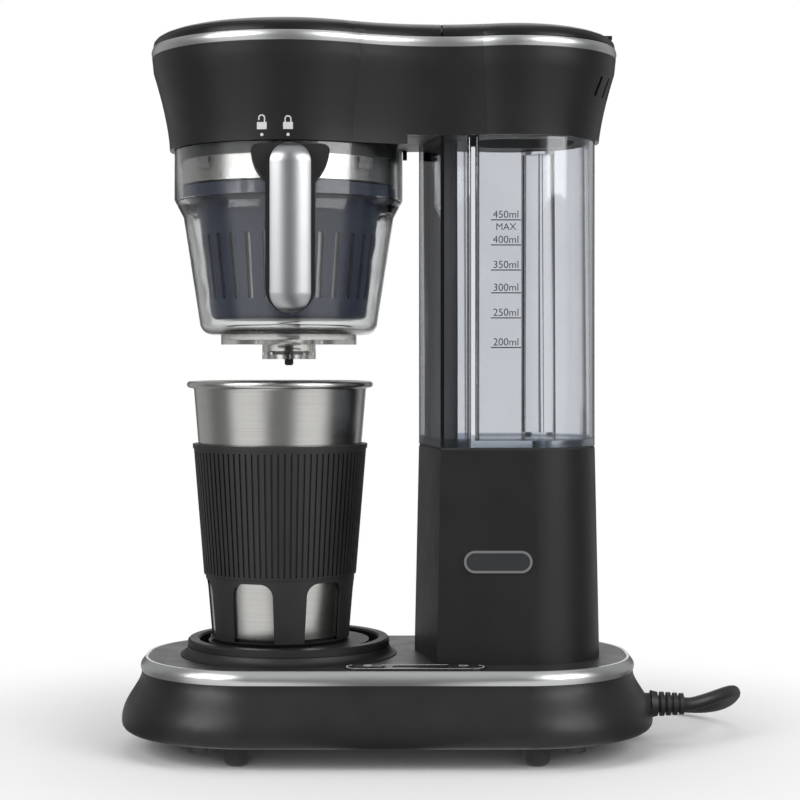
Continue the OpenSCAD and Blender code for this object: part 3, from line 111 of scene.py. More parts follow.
# Inwards on the table, up in the middle, and outwards again on top
def coil_points():
    points, count = [], round((2 * COIL_TURNS + CLIMB_TURNS) / TURN_STEP)
    for i in range(count + 1):
        turn = i * TURN_STEP
        climb = min(1, max(0, (turn - COIL_TURNS) / CLIMB_TURNS))
        inward = min(turn, COIL_TURNS) - max(0, turn - COIL_TURNS - CLIMB_TURNS)
        r = COIL_R - COIL_PITCH * inward
        a = math.radians(COIL_START - 360 * turn)
        rise = climb * climb * (3 - 2 * climb)
        points.append((COIL_X + r * math.cos(a), COIL_Y + r * math.sin(a),
                       COIL_LOW + (COIL_HIGH - COIL_LOW) * rise))
    return points


# A curve through all the points, with each span cut in equal parts
def smooth_line(points, parts):
    line = []
    for i in range(len(points) - 1):
        a, b, c, d = (Vector(points[min(max(k, 0), len(points) - 1)]) for k in (i - 1, i, i + 1, i + 2))
        for k in range(parts):
            t = k / parts
            line.append(0.5 * (2 * b + (c - a) * t + (2 * a - 5 * b + 4 * c - d) * t * t
                               + (3 * b - a - 3 * c + d) * t * t * t))
    return line + [Vector(points[-1])]


def round_cord(name, line):
    made = bpy.data.curves.new(name, "CURVE")
    made.dimensions = "3D"
    spline = made.splines.new("POLY")
    spline.points.add(len(line) - 1)
    for point, place in zip(spline.points, line):
        point.co, point.radius = (*place, 1), CORD_R * MM
    spline.use_smooth = True
    made.bevel_depth, made.bevel_resolution, made.use_fill_caps = 1, ROUND_STEPS, True
    return made


cord_points = smooth_line(LEAD + coil_points() + TAIL, LINE_PARTS)
cord_line = [(p + Vector((0, SHIFT_Y, 0))) * MM for p in cord_points]
cord = new_piece("mains_cord", round_cord("mains_cord", cord_line), "base", "cord_black",
                 "cord_lead", "cord_coil")

# Shader nodes: a value is the socket of another node or a plain setting

MIX_FIRST, MIX_SECOND, MIX_RESULT = 6, 7, 2  # the colour sockets of a mix node
NOISE_LOW, NOISE_HIGH = 0.35, 0.65  # most of the noise lies between these


def put(tree, value, socket):
    if isinstance(value, bpy.types.NodeSocket):
        tree.links.new(value, socket)
    else:
        socket.default_value = value


def grey(level):
    return (level, level, level, 1)


def place_on(tree, kind="Object"):
    return tree.nodes.new("ShaderNodeTexCoord").outputs[kind]


def parts_of(tree, vector):
    made = tree.nodes.new("ShaderNodeSeparateXYZ")
    put(tree, vector, made.inputs[0])
    return made.outputs


def reckon(tree, operation, *values):
    made = tree.nodes.new("ShaderNodeMath")
    made.operation = operation
    for value, socket in zip(values, made.inputs):
        put(tree, value, socket)
    return made.outputs[0]


def noise(tree, vector, scale, detail):
    made = tree.nodes.new("ShaderNodeTexNoise")
    for label, value in (("Vector", vector), ("Scale", scale), ("Detail", detail)):
        put(tree, value, made.inputs[label])
    return made.outputs["Fac"]


def spread(tree, value, low, high, start=NOISE_LOW, end=NOISE_HIGH, kind="LINEAR"):
    made = tree.nodes.new("ShaderNodeMapRange")
    made.interpolation_type = kind
    for label, bound in (("Value", value), ("From Min", start), ("From Max", end),
                         ("To Min", low), ("To Max", high)):
        put(tree, bound, made.inputs[label])
    return made.outputs["Result"]


def blend(tree, factor, first, second):
    made = tree.nodes.new("ShaderNodeMix")
    made.data_type = "RGBA"
    put(tree, factor, made.inputs["Factor"])
    put(tree, first, made.inputs[MIX_FIRST])
    put(tree, second, made.inputs[MIX_SECOND])
    return made.outputs[MIX_RESULT]


# Node groups that several materials share

MOULDED_INPUTS = [("Tint", "Color", (0.02, 0.02, 0.02, 1)), ("Worn Tint", "Color", (0.03, 0.03, 0.03, 1)),
                  ("Rough Low", "Float", 0.35), ("Rough High", "Float", 0.45),
                  ("Grain Scale", "Float", 2500)]
BRUSHED_INPUTS = [("Tint", "Color", (0.7, 0.7, 0.7, 1)), ("Line Tint", "Color", (0.6, 0.6, 0.6, 1)),
                  ("Rough Low", "Float", 0.2), ("Rough High", "Float", 0.3),
                  ("Line Scale", "Vector", (20, 20, 2600))]
FLOW_INPUTS = [("Tint", "Color", (0.9, 0.92, 0.93, 1)), ("Deep Tint", "Color", (0.8, 0.84, 0.86, 1)),
               ("Rough Low", "Float", 0.0), ("Rough High", "Float", 0.05), ("Low Zone Top", "Float", 0.0),
               ("Low Zone Tint", "Color", (0.7, 0.7, 0.7, 1)), ("Low Zone Rough", "Float", 0.3)]
SURFACE_OUTPUTS = [("Color", "Color"), ("Roughness", "Float"), ("Height", "Float")]
GRAIN_SHARE, WORN_FROM, WORN_TO = 0.35, 0.5, 0.85
LINE_FROM, LINE_TO, SMUDGE_SHARE, SMUDGE_FROM, SMUDGE_TO = 0.3, 0.7, 0.6, 0.6, 1.0
LOW_ZONE_FADE = 0.0008  # in m


def node_group(name, inputs):
    tree = bpy.data.node_groups.new(name, "ShaderNodeTree")
    for label, kind, value in inputs:
        made = tree.interface.new_socket(label, in_out="INPUT", socket_type="NodeSocket" + kind)
        made.default_value = value
    for label, kind in SURFACE_OUTPUTS:
        tree.interface.new_socket(label, in_out="OUTPUT", socket_type="NodeSocket" + kind)
    return tree, tree.nodes.new("NodeGroupInput").outputs, tree.nodes.new("NodeGroupOutput").inputs


def moulded_grain():
    tree, given, made = node_group("moulded_grain", MOULDED_INPUTS)
    place = place_on(tree)
    cloud = noise(tree, place, scale=26, detail=4)
    grain = noise(tree, place, given["Grain Scale"], detail=2)
    patches = noise(tree, place, scale=70, detail=4)
    worn = spread(tree, reckon(tree, "MULTIPLY_ADD", grain, GRAIN_SHARE, cloud), 0, 1, WORN_FROM, WORN_TO)
    put(tree, blend(tree, worn, given["Tint"], given["Worn Tint"]), made["Color"])
    put(tree, spread(tree, patches, given["Rough Low"], given["Rough High"]), made["Roughness"])
    put(tree, grain, made["Height"])
    return tree


def brushed_lines():
    tree, given, made = node_group("brushed_lines", BRUSHED_INPUTS)
    place = place_on(tree)
    stretched = tree.nodes.new("ShaderNodeVectorMath")
    stretched.operation = "MULTIPLY"
    put(tree, place, stretched.inputs[0])
    put(tree, given["Line Scale"], stretched.inputs[1])
    lines = noise(tree, stretched.outputs["Vector"], scale=1, detail=3)
    tone = spread(tree, lines, 0, 1, LINE_FROM, LINE_TO)
    put(tree, blend(tree, tone, given["Tint"], given["Line Tint"]), made["Color"])
    smudge = reckon(tree, "MULTIPLY_ADD", noise(tree, place, scale=45, detail=4), SMUDGE_SHARE, lines)
    put(tree, spread(tree, smudge, given["Rough Low"], given["Rough High"], SMUDGE_FROM, SMUDGE_TO),
        made["Roughness"])
    put(tree, lines, made["Height"])
    return tree


# Clear plastic that takes another tint and roughness below a level; on the tank the low tint is painted
# shade, a dark blue-grey line along the floor's edge
def clear_flow():
    tree, given, made = node_group("clear_flow", FLOW_INPUTS)
    place = place_on(tree)
    flow = noise(tree, place, scale=30, detail=3)
    patches = noise(tree, place, scale=90, detail=4)
    above = reckon(tree, "SUBTRACT", parts_of(tree, place)["Z"], given["Low Zone Top"])
    low_zone = spread(tree, above, 1, 0, 0, LOW_ZONE_FADE)
    moulded = blend(tree, spread(tree, flow, 0, 1), given["Tint"], given["Deep Tint"])
    # Below the level the colour turns to the low tint: painted shade on the tank's floor edge
    put(tree, blend(tree, low_zone, moulded, given["Low Zone Tint"]), made["Color"])
    smooth = spread(tree, patches, given["Rough Low"], given["Rough High"])
    put(tree, spread(tree, low_zone, smooth, given["Low Zone Rough"], 0, 1), made["Roughness"])
    put(tree, flow, made["Height"])
    return tree


GRAIN, BRUSHED, FLOW = moulded_grain(), brushed_lines(), clear_flow()

# Looks: one for each slot of the record, one for the handle's cover and two for the printed marks

PLASTICS = {
    "housing_black": dict(tint=(0.009, 0.009, 0.0095), worn=(0.011, 0.011, 0.0115), rough=(0.34, 0.4),
                          specular=0.32),
    "deck_grey": dict(tint=(0.02, 0.0205, 0.021), worn=(0.026, 0.0265, 0.027), rough=(0.4, 0.48),
                      grain=1800, bump=(0.4, 0.00005)),
    "cover_gloss": dict(tint=(0.008, 0.008, 0.0085), worn=(0.01, 0.01, 0.0105), rough=(0.26, 0.32),
                        specular=0.22),
    "button_dark": dict(tint=(0.014, 0.014, 0.015), worn=(0.018, 0.018, 0.019), rough=(0.3, 0.36)),
    "bezel_grey": dict(tint=(0.012, 0.012, 0.013), worn=(0.015, 0.015, 0.016), rough=(0.3, 0.38)),
    "foot_rubber": dict(tint=(0.01, 0.01, 0.01), worn=(0.014, 0.014, 0.014), rough=(0.7, 0.8), grain=1500),
    "sleeve_silicone": dict(tint=(0.008, 0.008, 0.0085), worn=(0.011, 0.011, 0.0115), rough=(0.5, 0.6)),
    "filter_navy": dict(tint=(0.016, 0.021, 0.038), worn=(0.02, 0.026, 0.045), rough=(0.34, 0.4),
                        bump=(0.08, 0.00002), specular=0.25),
    "seal_black": dict(tint=(0.012, 0.012, 0.012), worn=(0.016, 0.016, 0.016), rough=(0.6, 0.7)),
    "hose_grey": dict(tint=(0.045, 0.045, 0.048), worn=(0.055, 0.055, 0.058), rough=(0.5, 0.6)),
    "board_green": dict(tint=(0.02, 0.13, 0.05), worn=(0.03, 0.17, 0.07), rough=(0.35, 0.45), grain=900),
    "valve_plastic": dict(tint=(0.7, 0.67, 0.6), worn=(0.76, 0.73, 0.67), rough=(0.4, 0.5)),
    "cord_black": dict(tint=(0.01, 0.01, 0.0105), worn=(0.014, 0.014, 0.0145), rough=(0.42, 0.52)),
    "badge_dark": dict(tint=(0.018, 0.019, 0.021), worn=(0.022, 0.023, 0.025), rough=(0.26, 0.32)),
    "grip_black": dict(tint=(0.008, 0.008, 0.0085), worn=(0.01, 0.01, 0.0105), rough=(0.45, 0.52),
                       specular=0.35),
    "print_white": dict(tint=(0.58, 0.58, 0.58), worn=(0.52, 0.52, 0.52), rough=(0.5, 0.6)),
    "print_grey": dict(tint=(0.015, 0.016, 0.018), worn=(0.02, 0.021, 0.023), rough=(0.5, 0.6)),
}
METALS = {
    "trim_silver": dict(tint=(0.6, 0.605, 0.61), line=(0.57, 0.575, 0.58), rough=(0.28, 0.32),
                        lines=(60, 60, 60), bump=(0.01, 0.00001)),
    "handle_satin": dict(tint=(0.42, 0.43, 0.44), line=(0.4, 0.41, 0.42), rough=(0.32, 0.36),
                         lines=(60, 60, 60), bump=(0.01, 0.00001)),
    "steel": dict(tint=(0.56, 0.555, 0.535), line=(0.53, 0.525, 0.505), rough=(0.22, 0.27),
                  lines=(16, 16, 1800), bump=(0.015, 0.00001)),
    "chrome": dict(tint=(0.82, 0.82, 0.82), line=(0.78, 0.78, 0.785), rough=(0.06, 0.12),
                   lines=(40, 40, 900), bump=(0.05, 0.00002)),
    "mesh_steel": dict(tint=(0.4, 0.41, 0.42), line=(0.25, 0.26, 0.27), rough=(0.3, 0.4),
                       lines=(2400, 2400, 2400)),
    "heater_alloy": dict(tint=(0.62, 0.63, 0.64), line=(0.5, 0.51, 0.52), rough=(0.4, 0.5),
                         lines=(900, 900, 900)),
    "motor_metal": dict(tint=(0.42, 0.43, 0.45), line=(0.34, 0.35, 0.37), rough=(0.32, 0.42),
                        lines=(300, 300, 900)),
}
CLEARS = {
    "clear_plastic": dict(tint=(0.88, 0.89, 0.89), deep=(0.85, 0.865, 0.865), rough=(0.05, 0.1),
                          low_zone_top=189.0, low_zone_tint=(0.84, 0.84, 0.82), low_zone_rough=0.17),
    # The tank's low tint is painted shade: it darkens the edge of the tank's floor to a blue-grey line
    "tank_clear": dict(tint=(0.78, 0.795, 0.82), deep=(0.75, 0.77, 0.8), rough=(0.01, 0.04),
                       low_zone_top=140.5, low_zone_tint=(0.32, 0.36, 0.42), low_zone_rough=0.15),
}
CLEAR_IOR = 1.49

# Materials: a bump is its strength and its height in m, and the top of the low zone is in mm


def surface(name, group, tint, rough, bump, settings, fixed):
    made = bpy.data.materials.new(name)
    made.use_nodes = True
    made.diffuse_color = (*tint, 1)
    tree = made.node_tree
    shader = tree.nodes["Principled BSDF"]
    detail, raised = tree.nodes.new("ShaderNodeGroup"), tree.nodes.new("ShaderNodeBump")
    detail.node_tree = group
    shared = {"Tint": (*tint, 1), "Rough Low": rough[0], "Rough High": rough[1]}
    for label, value in {**shared, **settings}.items():
        put(tree, value, detail.inputs[label])
    raised.inputs["Strength"].default_value, raised.inputs["Distance"].default_value = bump
    put(tree, detail.outputs["Height"], raised.inputs["Height"])
    put(tree, detail.outputs["Color"], shader.inputs["Base Color"])
    put(tree, detail.outputs["Roughness"], shader.inputs["Roughness"])
    put(tree, raised.outputs["Normal"], shader.inputs["Normal"])
    for label, value in fixed.items():
        put(tree, value, shader.inputs[label])
    return made


def plastic(name, tint, worn, rough, grain=2500, bump=(0.25, 0.00004), specular=0.5):
    return surface(name, GRAIN, tint, rough, bump, {"Worn Tint": (*worn, 1), "Grain Scale": grain},
                   {"Specular IOR Level": specular})


def metal(name, tint, line, rough, lines, bump=(0.2, 0.00003)):
    return surface(name, BRUSHED, tint, rough, bump, {"Line Tint": (*line, 1), "Line Scale": lines},
                   {"Metallic": 1.0})


# Shadow rays pass straight through, so that what stands behind the clear plastic is lit
def clear(name, tint, deep, rough, low_zone_top, low_zone_tint, low_zone_rough, bump=(0.1, 0.0002)):
    low_zone = {"Low Zone Top": low_zone_top * MM, "Low Zone Tint": (*low_zone_tint, 1), "Low Zone Rough": low_zone_rough}
    made = surface(name, FLOW, tint, rough, bump, {"Deep Tint": (*deep, 1), **low_zone},
                   {"Transmission Weight": 1.0, "IOR": CLEAR_IOR})
    tree = made.node_tree
    path, through, mixed = (tree.nodes.new("ShaderNode" + kind)
                            for kind in ("LightPath", "BsdfTransparent", "MixShader"))
    through.inputs["Color"].default_value = (*tint, 1)
    put(tree, path.outputs["Is Shadow Ray"], mixed.inputs["Fac"])
    put(tree, tree.nodes["Principled BSDF"].outputs[0], mixed.inputs[1])
    put(tree, through.outputs[0], mixed.inputs[2])
    put(tree, mixed.outputs[0], tree.nodes["Material Output"].inputs["Surface"])
    return made


materials = {name: build(name, **look)
             for build, looks in ((plastic, PLASTICS), (metal, METALS), (clear, CLEARS))
             for name, look in looks.items()}

# Soft shading: faces meet smoothly where they turn less than the angle

SMOOTH_BELOW, WELD_GAP = math.radians(32), 0.00002


def soft_shading():
    tree = bpy.data.node_groups.new("soft_shading", "GeometryNodeTree")
    for way in ("INPUT", "OUTPUT"):
        tree.interface.new_socket("Geometry", in_out=way, socket_type="NodeSocketGeometry")
    given, made = tree.nodes.new("NodeGroupInput"), tree.nodes.new("NodeGroupOutput")
    bare, weld, faces, edges, turn = (
        tree.nodes.new("GeometryNode" + kind)
        for kind in ("RemoveAttribute", "MergeByDistance", "SetShadeSmooth", "SetShadeSmooth",
                     "InputMeshEdgeAngle"))
    bare.inputs["Name"].default_value = "custom_normal"
    weld.inputs["Distance"].default_value = WELD_GAP
    small = tree.nodes.new("FunctionNodeCompare")
    small.operation = "LESS_THAN"
    put(tree, turn.outputs["Unsigned Angle"], small.inputs[0])
    put(tree, SMOOTH_BELOW, small.inputs[1])
    edges.domain = "EDGE"
    put(tree, small.outputs[0], edges.inputs["Shade Smooth"])
    last = given.outputs[0]
    for stage in (bare, weld, faces, edges):
        put(tree, last, stage.inputs["Geometry"])
        last = stage.outputs["Geometry"]
    put(tree, last, made.inputs[0])
    return tree


SOFT = soft_shading()


def finished(obj, material):
    obj.data.materials.clear()
    obj.data.materials.append(material)
    obj.modifiers.new("soft_shading", "NODES").node_group = SOFT
    obj.modifiers.new("face_weights", "WEIGHTED_NORMAL").keep_sharp = True


for name, obj in nodes.items():
    finished(obj, materials[slot_of[name]])
cord.data.materials.append(materials["cord_black"])

# Tank with its back groove carried on down into the floor and up to the rim, in mm

TANK_FLOOR_Z, GROOVE_SINK, END_MARGIN = 140, 0.5, 1


def carried_groove(mesh, rim):
    inner = [v for v in mesh.vertices if TANK_FLOOR_Z + END_MARGIN < v.co.z / MM < rim - END_MARGIN]
    low, high = min(v.co.z for v in inner), max(v.co.z for v in inner)
    for v in inner:
        if v.co.z > (low + high) / 2:
            v.co.z += rim * MM - high
        else:
            v.co.z -= low - (TANK_FLOOR_Z - GROOVE_SINK) * MM
    return mesh


_, tank_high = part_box("tank")
tank_mesh = carried_groove(nodes["tank"].data.copy(), tank_high.z / MM)
tank_shell = new_piece("tank_shell", tank_mesh, "base", "tank_clear", "tank")
finished(tank_shell, materials["tank_clear"])


# A closed mesh through rings of points
def lofted(name, rings):
    size, last = len(rings[0]), len(rings) - 1
    faces = [[(i + 1) * size + k, (i + 1) * size + (k + 1) % size, i * size + (k + 1) % size, i * size + k]
             for i in range(last) for k in range(size)]
    faces += [list(range(size)), list(range(last * size, (last + 1) * size))[::-1]]
    return new_mesh(name, [p for ring in rings for p in ring], faces)


# Handle cover: a flat arc across, rounded off towards both ends, in mm

HANDLE_TURN, GRIP_Y = math.radians(3.7), -69.45
HANDLE_LOW, HANDLE_LONG, COVER_HALF_W, COVER_ARC_R = 195.2, 72, 8.7, 14.8
ARC_STEPS, END_STEP = 24, 6
COVER_EDGE, EDGE_STEPS, EDGE_ANGLE = 0.9, 3, math.radians(35)


def cover_ring(turn, upper):
    half, radius = COVER_HALF_W * math.sin(turn), COVER_ARC_R - COVER_HALF_W * (1 - math.sin(turn))
    drop = COVER_HALF_W * math.cos(turn)
    z = HANDLE_LOW + (HANDLE_LONG - COVER_HALF_W + drop if upper else COVER_HALF_W - drop)
    across = [half * (1 - 2 * i / ARC_STEPS) for i in range(ARC_STEPS + 1)]
    ring = [(x, COVER_ARC_R - COVER_HALF_W - math.sqrt(radius ** 2 - x ** 2)) for x in across]
    ring += [(-half, 0), (half, 0)]
    return [Vector((BREW_X + x * math.cos(HANDLE_TURN) - (GRIP_Y + y) * math.sin(HANDLE_TURN),
                    SHIFT_Y + x * math.sin(HANDLE_TURN) + (GRIP_Y + y) * math.cos(HANDLE_TURN), z)) * MM
            for x, y in ring]


end_turns = [math.radians(a) for a in range(END_STEP, 91, END_STEP)]
cover_rings = [cover_ring(a, False) for a in end_turns] + [cover_ring(a, True) for a in reversed(end_turns)]
handle_cover = new_piece("handle_cover", lofted("handle_cover", cover_rings), "holder", "trim_silver",
                         "handle_cap")
edge = handle_cover.modifiers.new("edge", "BEVEL")
edge.width, edge.segments = COVER_EDGE * MM, EDGE_STEPS
edge.limit_method, edge.angle_limit = "ANGLE", EDGE_ANGLE
finished(handle_cover, materials["handle_satin"])

# Valve spring: a coil of round wire, in mm

SPRING_R, WIRE_R, CURLS, CURL_RINGS, WIRE_SIDES = 5, 0.45, 5, 32, 12


def spring_rings(low, high):
    slope = math.atan2((high - low) / CURLS, 2 * math.pi * SPRING_R)
    around = [2 * math.pi * k / WIRE_SIDES for k in range(WIRE_SIDES)]
    count, rings = CURLS * CURL_RINGS, []
    for i in range(count + 1):
        a = 2 * math.pi * i / CURL_RINGS
        out = Vector((math.cos(a), math.sin(a), 0))
        up = Vector((math.sin(a) * math.sin(slope), -math.cos(a) * math.sin(slope), math.cos(slope)))
        centre = Vector((BREW_X, SHIFT_Y, low + (high - low) * i / count)) + out * SPRING_R
        rings.append([(centre + (out * math.cos(b) + up * math.sin(b)) * WIRE_R) * MM for b in around])
    return rings


spring_low, spring_high = (corner.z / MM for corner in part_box("valve_spring"))
coil_mesh = lofted("valve_coil", spring_rings(spring_low + WIRE_R, spring_high - WIRE_R))
valve_coil = new_piece("valve_coil", coil_mesh, "holder", "steel", "valve_spring")
finished(valve_coil, materials["steel"])
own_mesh(valve_coil)

# Shapes of the printed marks, flat, in mm

LOCK_HALF_W, LOCK_LOW, LOCK_HIGH, DOT_UP, DOT_R = 2.1, -0.6, 2.4, -2.9, 0.7
LOOP_UP, LOOP_R, LOOP_IN_R, LOOP_LIFT, OPEN_LEG_UP = 3.7, 1.5, 0.95, 0.45, 3.3
LEG_X, LEG_W = (LOOP_R + LOOP_IN_R) / 2, LOOP_R - LOOP_IN_R
MARK_LINE, STEAM_LINE = 0.4, 0.3
BEAN_R, BEAN_STEPS, BEAN_SEAM = 1.9, 28, [(-0.9, -1.2), (-0.1, 0), (0.9, 1.2)]
CUP_SIDES = [(-1.6, 0.6), (-1.2, -1.4), (1.2, -1.4), (1.6, 0.6)]
CUP_EAR_X, CUP_EAR_UP, CUP_EAR_R = 1.5, -0.3, 0.9
STEAM_X, STEAM_LOW, STEAM_HIGH = (-0.7, 0, 0.7), 1.0, 1.9


def arc(x, y, outer, inner, start, end, steps=20):
    angles = [math.radians(start + (end - start) * i / steps) for i in range(steps + 1)]
    ring = [[(x + r * math.cos(a), y + r * math.sin(a)) for a in angles] for r in (outer, inner)]
    return [[ring[0][i], ring[0][i + 1], ring[1][i + 1], ring[1][i]] for i in range(steps)]


def bar(x0, y0, x1, y1, width):
    along = Vector((x1 - x0, y1 - y0)).normalized() * width / 2
    u, v = -along.y, along.x
    return [[(x0 - u, y0 - v), (x1 - u, y1 - v), (x1 + u, y1 + v), (x0 + u, y0 + v)]]


def strokes(x, y, points, width):
    return [shape for (a, b), (c, d) in zip(points, points[1:])
            for shape in bar(x + a, y + b, x + c, y + d, width)]


def disc(x, y, r, steps=20):
    angles = [2 * math.pi * i / steps for i in range(steps)]
    return [[(x + r * math.cos(a), y + r * math.sin(a)) for a in angles]]


def padlock(x, y, opened):
    top = y + LOOP_UP + (LOOP_LIFT if opened else 0)
    left, right, low, high = x - LOCK_HALF_W, x + LOCK_HALF_W, y + LOCK_LOW, y + LOCK_HIGH
    body = [[(left, low), (right, low), (right, high), (left, high)]]
    legs = bar(x + LEG_X, high, x + LEG_X, top, LEG_W)
    legs += bar(x - LEG_X, y + OPEN_LEG_UP if opened else high, x - LEG_X, top, LEG_W)
    return body + arc(x, top, LOOP_R, LOOP_IN_R, 0, 180) + legs + disc(x, y + DOT_UP, DOT_R)


def lozenge_line(x, y, length, width, line):
    straight, made = (length - width) / 2, []
    for side in (-1, 1):
        level = y + side * (width - line) / 2
        made += bar(x - straight, level, x + straight, level, line)
        made += arc(x + side * straight, y, width / 2, width / 2 - line, -90 * side, 180 - 90 * side)
    return made


def bean(x, y):
    return (arc(x, y, BEAN_R, BEAN_R - MARK_LINE, 0, 360, BEAN_STEPS)
            + strokes(x, y, BEAN_SEAM, MARK_LINE))


def small_cup(x, y):
    made = strokes(x, y, CUP_SIDES, MARK_LINE)
    made += arc(x + CUP_EAR_X, y + CUP_EAR_UP, CUP_EAR_R, CUP_EAR_R - MARK_LINE, -90, 90)
    for side in STEAM_X:
        made += strokes(x, y, [(side, STEAM_LOW), (side, STEAM_HIGH)], STEAM_LINE)
    return made


def written(text, size, x, y):
    letters = bpy.data.curves.new(text, "FONT")
    letters.body, letters.size, letters.align_x = text, size, "CENTER"
    helper = new_object(text, letters)
    bpy.context.view_layer.update()
    flat = helper.to_mesh()
    spots = [(v.co.x + x, v.co.y + y) for v in flat.vertices]
    shapes = [[spots[v] for v in p.vertices] for p in flat.polygons]
    helper.to_mesh_clear()
    bpy.data.objects.remove(helper)
    return shapes


# Printed marks, laid on the surface under them from the front or from above, with their places in mm

INK_GAP, INK_THICK, RAY_START = 0.00001, 0.00006, 1  # in m
LOCK_Z, OPEN_LOCK_X, SHUT_LOCK_X = 275.2, -53.6, -42.3
BEZEL_X, BEZEL_Y, BEZEL_LONG, BEZEL_WIDE, BEZEL_LINE, BUTTON_X = 12.3, -46.2, 60, 11, 0.5, 20.5
LEVELS = {"450ml": 237, "400ml": 226, "350ml": 215, "300ml": 205, "250ml": 194, "200ml": 181}
LEVEL_LEFT, LEVEL_RIGHT, LEVEL_LINE = 45.6, 58.8, 0.5
LEVEL_TEXT, TEXT_LIFT, MAX_TEXT, MAX_DROP = 4.6, 0.9, 4.2, 4.4


def printed(name, shapes, target, body, look, slot, down=False):
    skin = nodes[target].data
    tree = BVHTree.FromPolygons([v.co for v in skin.vertices], [p.vertices for p in skin.polygons])
    way = Vector((0, 0, -1)) if down else Vector((0, 1, 0))
    points, faces, seen = [], [], {}
    for shape in shapes:
        face = []
        for u, v in shape:
            key = (round(u, 4), round(v, 4))
            if key not in seen:
                start = (u * MM, (v + SHIFT_Y) * MM, RAY_START) if down else (u * MM, -RAY_START, v * MM)
                hit, normal, _, _ = tree.ray_cast(Vector(start), way)
                seen[key] = len(points)
                points.append(hit + normal * INK_GAP)
            face.append(seen[key])
        faces.append(face)
    mesh = new_mesh(name, points, faces)
    mesh.validate()
    mesh.materials.append(materials[look])
    ink = new_piece(name, mesh, body, slot).modifiers.new("thickness", "SOLIDIFY")
    ink.thickness, ink.offset = INK_THICK, 1


def level_marks():
    made, middle = [], (LEVEL_LEFT + LEVEL_RIGHT) / 2
    for label, z in LEVELS.items():
        made += bar(LEVEL_LEFT, z, LEVEL_RIGHT, z, LEVEL_LINE)
        made += written(label, LEVEL_TEXT, middle, z + TEXT_LIFT)
    return made + written("MAX", MAX_TEXT, middle, max(LEVELS.values()) - MAX_DROP)


printed("lock_marks", padlock(OPEN_LOCK_X, LOCK_Z, True) + padlock(SHUT_LOCK_X, LOCK_Z, False),
        "head_shell", "base", "print_white", "trim_silver")
printed("bezel_line", lozenge_line(BEZEL_X, BEZEL_Y, BEZEL_LONG, BEZEL_WIDE, BEZEL_LINE),
        "control_bezel", "base", "print_white", "trim_silver", down=True)
printed("grind_mark", bean(BEZEL_X - BUTTON_X, BEZEL_Y),
        "button_left", "left_button", "print_white", "trim_silver", down=True)
printed("brew_mark", small_cup(BEZEL_X + BUTTON_X, BEZEL_Y),
        "button_right", "right_button", "print_white", "trim_silver", down=True)
printed("level_marks", level_marks(), "tank", "base", "print_grey", "badge_dark")

# Studio: panels and a backdrop that show in shiny surfaces and through the clear plastic, lamps and a floor

PANELS = [(0, 0.22), (12, 0.22), (28, 0.95), (60, 0.95), (74, 0.2), (96, 0.2), (112, 0.4), (146, 0.45),
          (150, 0.12), (164, 0.12), (168, 1.0), (180, 1.0)]  # degrees from the front, and brightness
OVERHEAD, OVERHEAD_FROM, OVERHEAD_TO = 0.6, 0.75, 0.95
WHITE, ROOM_LIGHT = 1.0, 0.33
FLOOR_HALF, PAPER_LEVEL, PAPER_ROUGH, PAPER_SHINE = 6, 0.89, 0.85, 0.1
WHITE_FROM, WHITE_TO = 0.1, 0.32  # where the floor turns from paper to white, in m
LAMPS = [
    dict(name="left_softbox", place=(-1.0, -0.9, 0.9), aim=(0, 0, 0.15), size=0.95, power=13.3),
    dict(name="right_softbox", place=(1.0, -0.9, 0.8), aim=(0, 0, 0.15), size=0.95, power=11.8),
    dict(name="top_softbox", place=(0, 0.1, 1.5), aim=(0, 0, 0.1), size=1.0, power=3.5, mirrored=False),
    dict(name="low_softbox", place=(0, -1.3, 0.12), aim=(0, 0, 0.02), size=0.7, power=5, mirrored=False),
]


def studio_colour(tree, direction):
    parts = parts_of(tree, direction)
    angle = reckon(tree, "ARCTAN2", parts["X"], reckon(tree, "MULTIPLY", parts["Y"], -1))
    turn = reckon(tree, "DIVIDE", reckon(tree, "ABSOLUTE", angle), math.pi)
    ramp = tree.nodes.new("ShaderNodeValToRGB")
    put(tree, turn, ramp.inputs["Fac"])
    stops = ramp.color_ramp.elements
    stops[0].position, stops[1].position = 0, 1
    for degrees, _ in PANELS[1:-1]:
        stops.new(degrees / 180)
    for stop, (_, level) in zip(stops, PANELS):
        stop.color = grey(level)
    up = spread(tree, parts["Z"], 0, 1, OVERHEAD_FROM, OVERHEAD_TO, "SMOOTHSTEP")
    return blend(tree, up, ramp.outputs["Color"], grey(OVERHEAD))


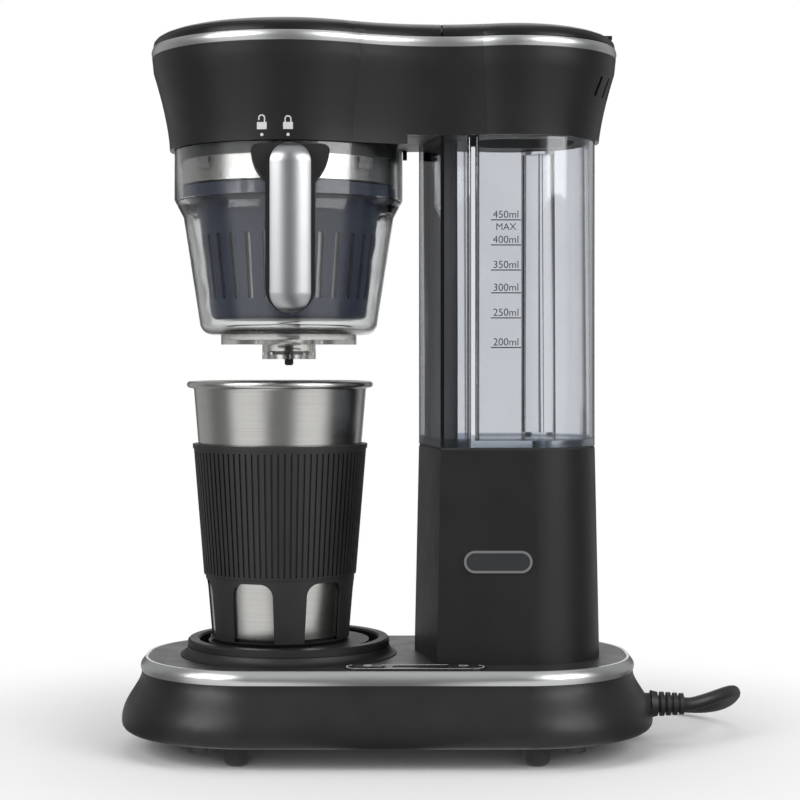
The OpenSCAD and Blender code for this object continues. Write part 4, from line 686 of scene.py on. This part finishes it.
# Paper near the machine, which takes its shadow, and white further away
def floor_paper():
    made = bpy.data.materials.new("paper")
    made.use_nodes = True
    tree = made.node_tree
    near = tree.nodes["Principled BSDF"]
    near.inputs["Base Color"].default_value = grey(PAPER_LEVEL)
    near.inputs["Roughness"].default_value = PAPER_ROUGH
    near.inputs["Specular IOR Level"].default_value = PAPER_SHINE
    far, bright, mixed, path = (tree.nodes.new("ShaderNode" + kind)
                                for kind in ("VectorMath", "Emission", "MixShader", "LightPath"))
    far.operation = "LENGTH"
    place = place_on(tree)
    put(tree, place, far.inputs[0])
    white = spread(tree, far.outputs["Value"], 0, 1, WHITE_FROM, WHITE_TO, "SMOOTHSTEP")
    put(tree, reckon(tree, "MAXIMUM", white, path.outputs["Is Glossy Ray"]), mixed.inputs["Fac"])
    put(tree, blend(tree, path.outputs["Is Camera Ray"], studio_colour(tree, place), grey(WHITE)),
        bright.inputs["Color"])
    put(tree, near.outputs[0], mixed.inputs[1])
    put(tree, bright.outputs[0], mixed.inputs[2])
    put(tree, mixed.outputs[0], tree.nodes["Material Output"].inputs["Surface"])
    return made


def studio_world():
    made = bpy.data.worlds.new("studio")
    made.use_nodes = True
    tree = made.node_tree
    path = tree.nodes.new("ShaderNodeLightPath").outputs
    mirrored = reckon(tree, "MAXIMUM", path["Is Glossy Ray"], path["Is Transmission Ray"])
    around = blend(tree, mirrored, grey(ROOM_LIGHT), studio_colour(tree, place_on(tree, "Generated")))
    put(tree, blend(tree, path["Is Camera Ray"], around, grey(WHITE)),
        tree.nodes["Background"].inputs["Color"])
    return made


def softbox(name, place, aim, size, power, mirrored=True):
    light = bpy.data.lights.new(name, "AREA")
    light.shape, light.size, light.energy = "SQUARE", size, power
    made = new_object(name, light)
    made.location = place
    made.rotation_euler = (Vector(aim) - Vector(place)).to_track_quat("-Z", "Y").to_euler()
    made.visible_glossy = made.visible_transmission = mirrored


floor_corners = [(x * FLOOR_HALF, y * FLOOR_HALF, 0) for x, y in ((-1, -1), (1, -1), (1, 1), (-1, 1))]
floor = new_object("floor", new_mesh("floor", floor_corners, [(0, 1, 2, 3)]))
floor.data.materials.append(floor_paper())
scene.world = studio_world()
for lamp in LAMPS:
    softbox(**lamp)
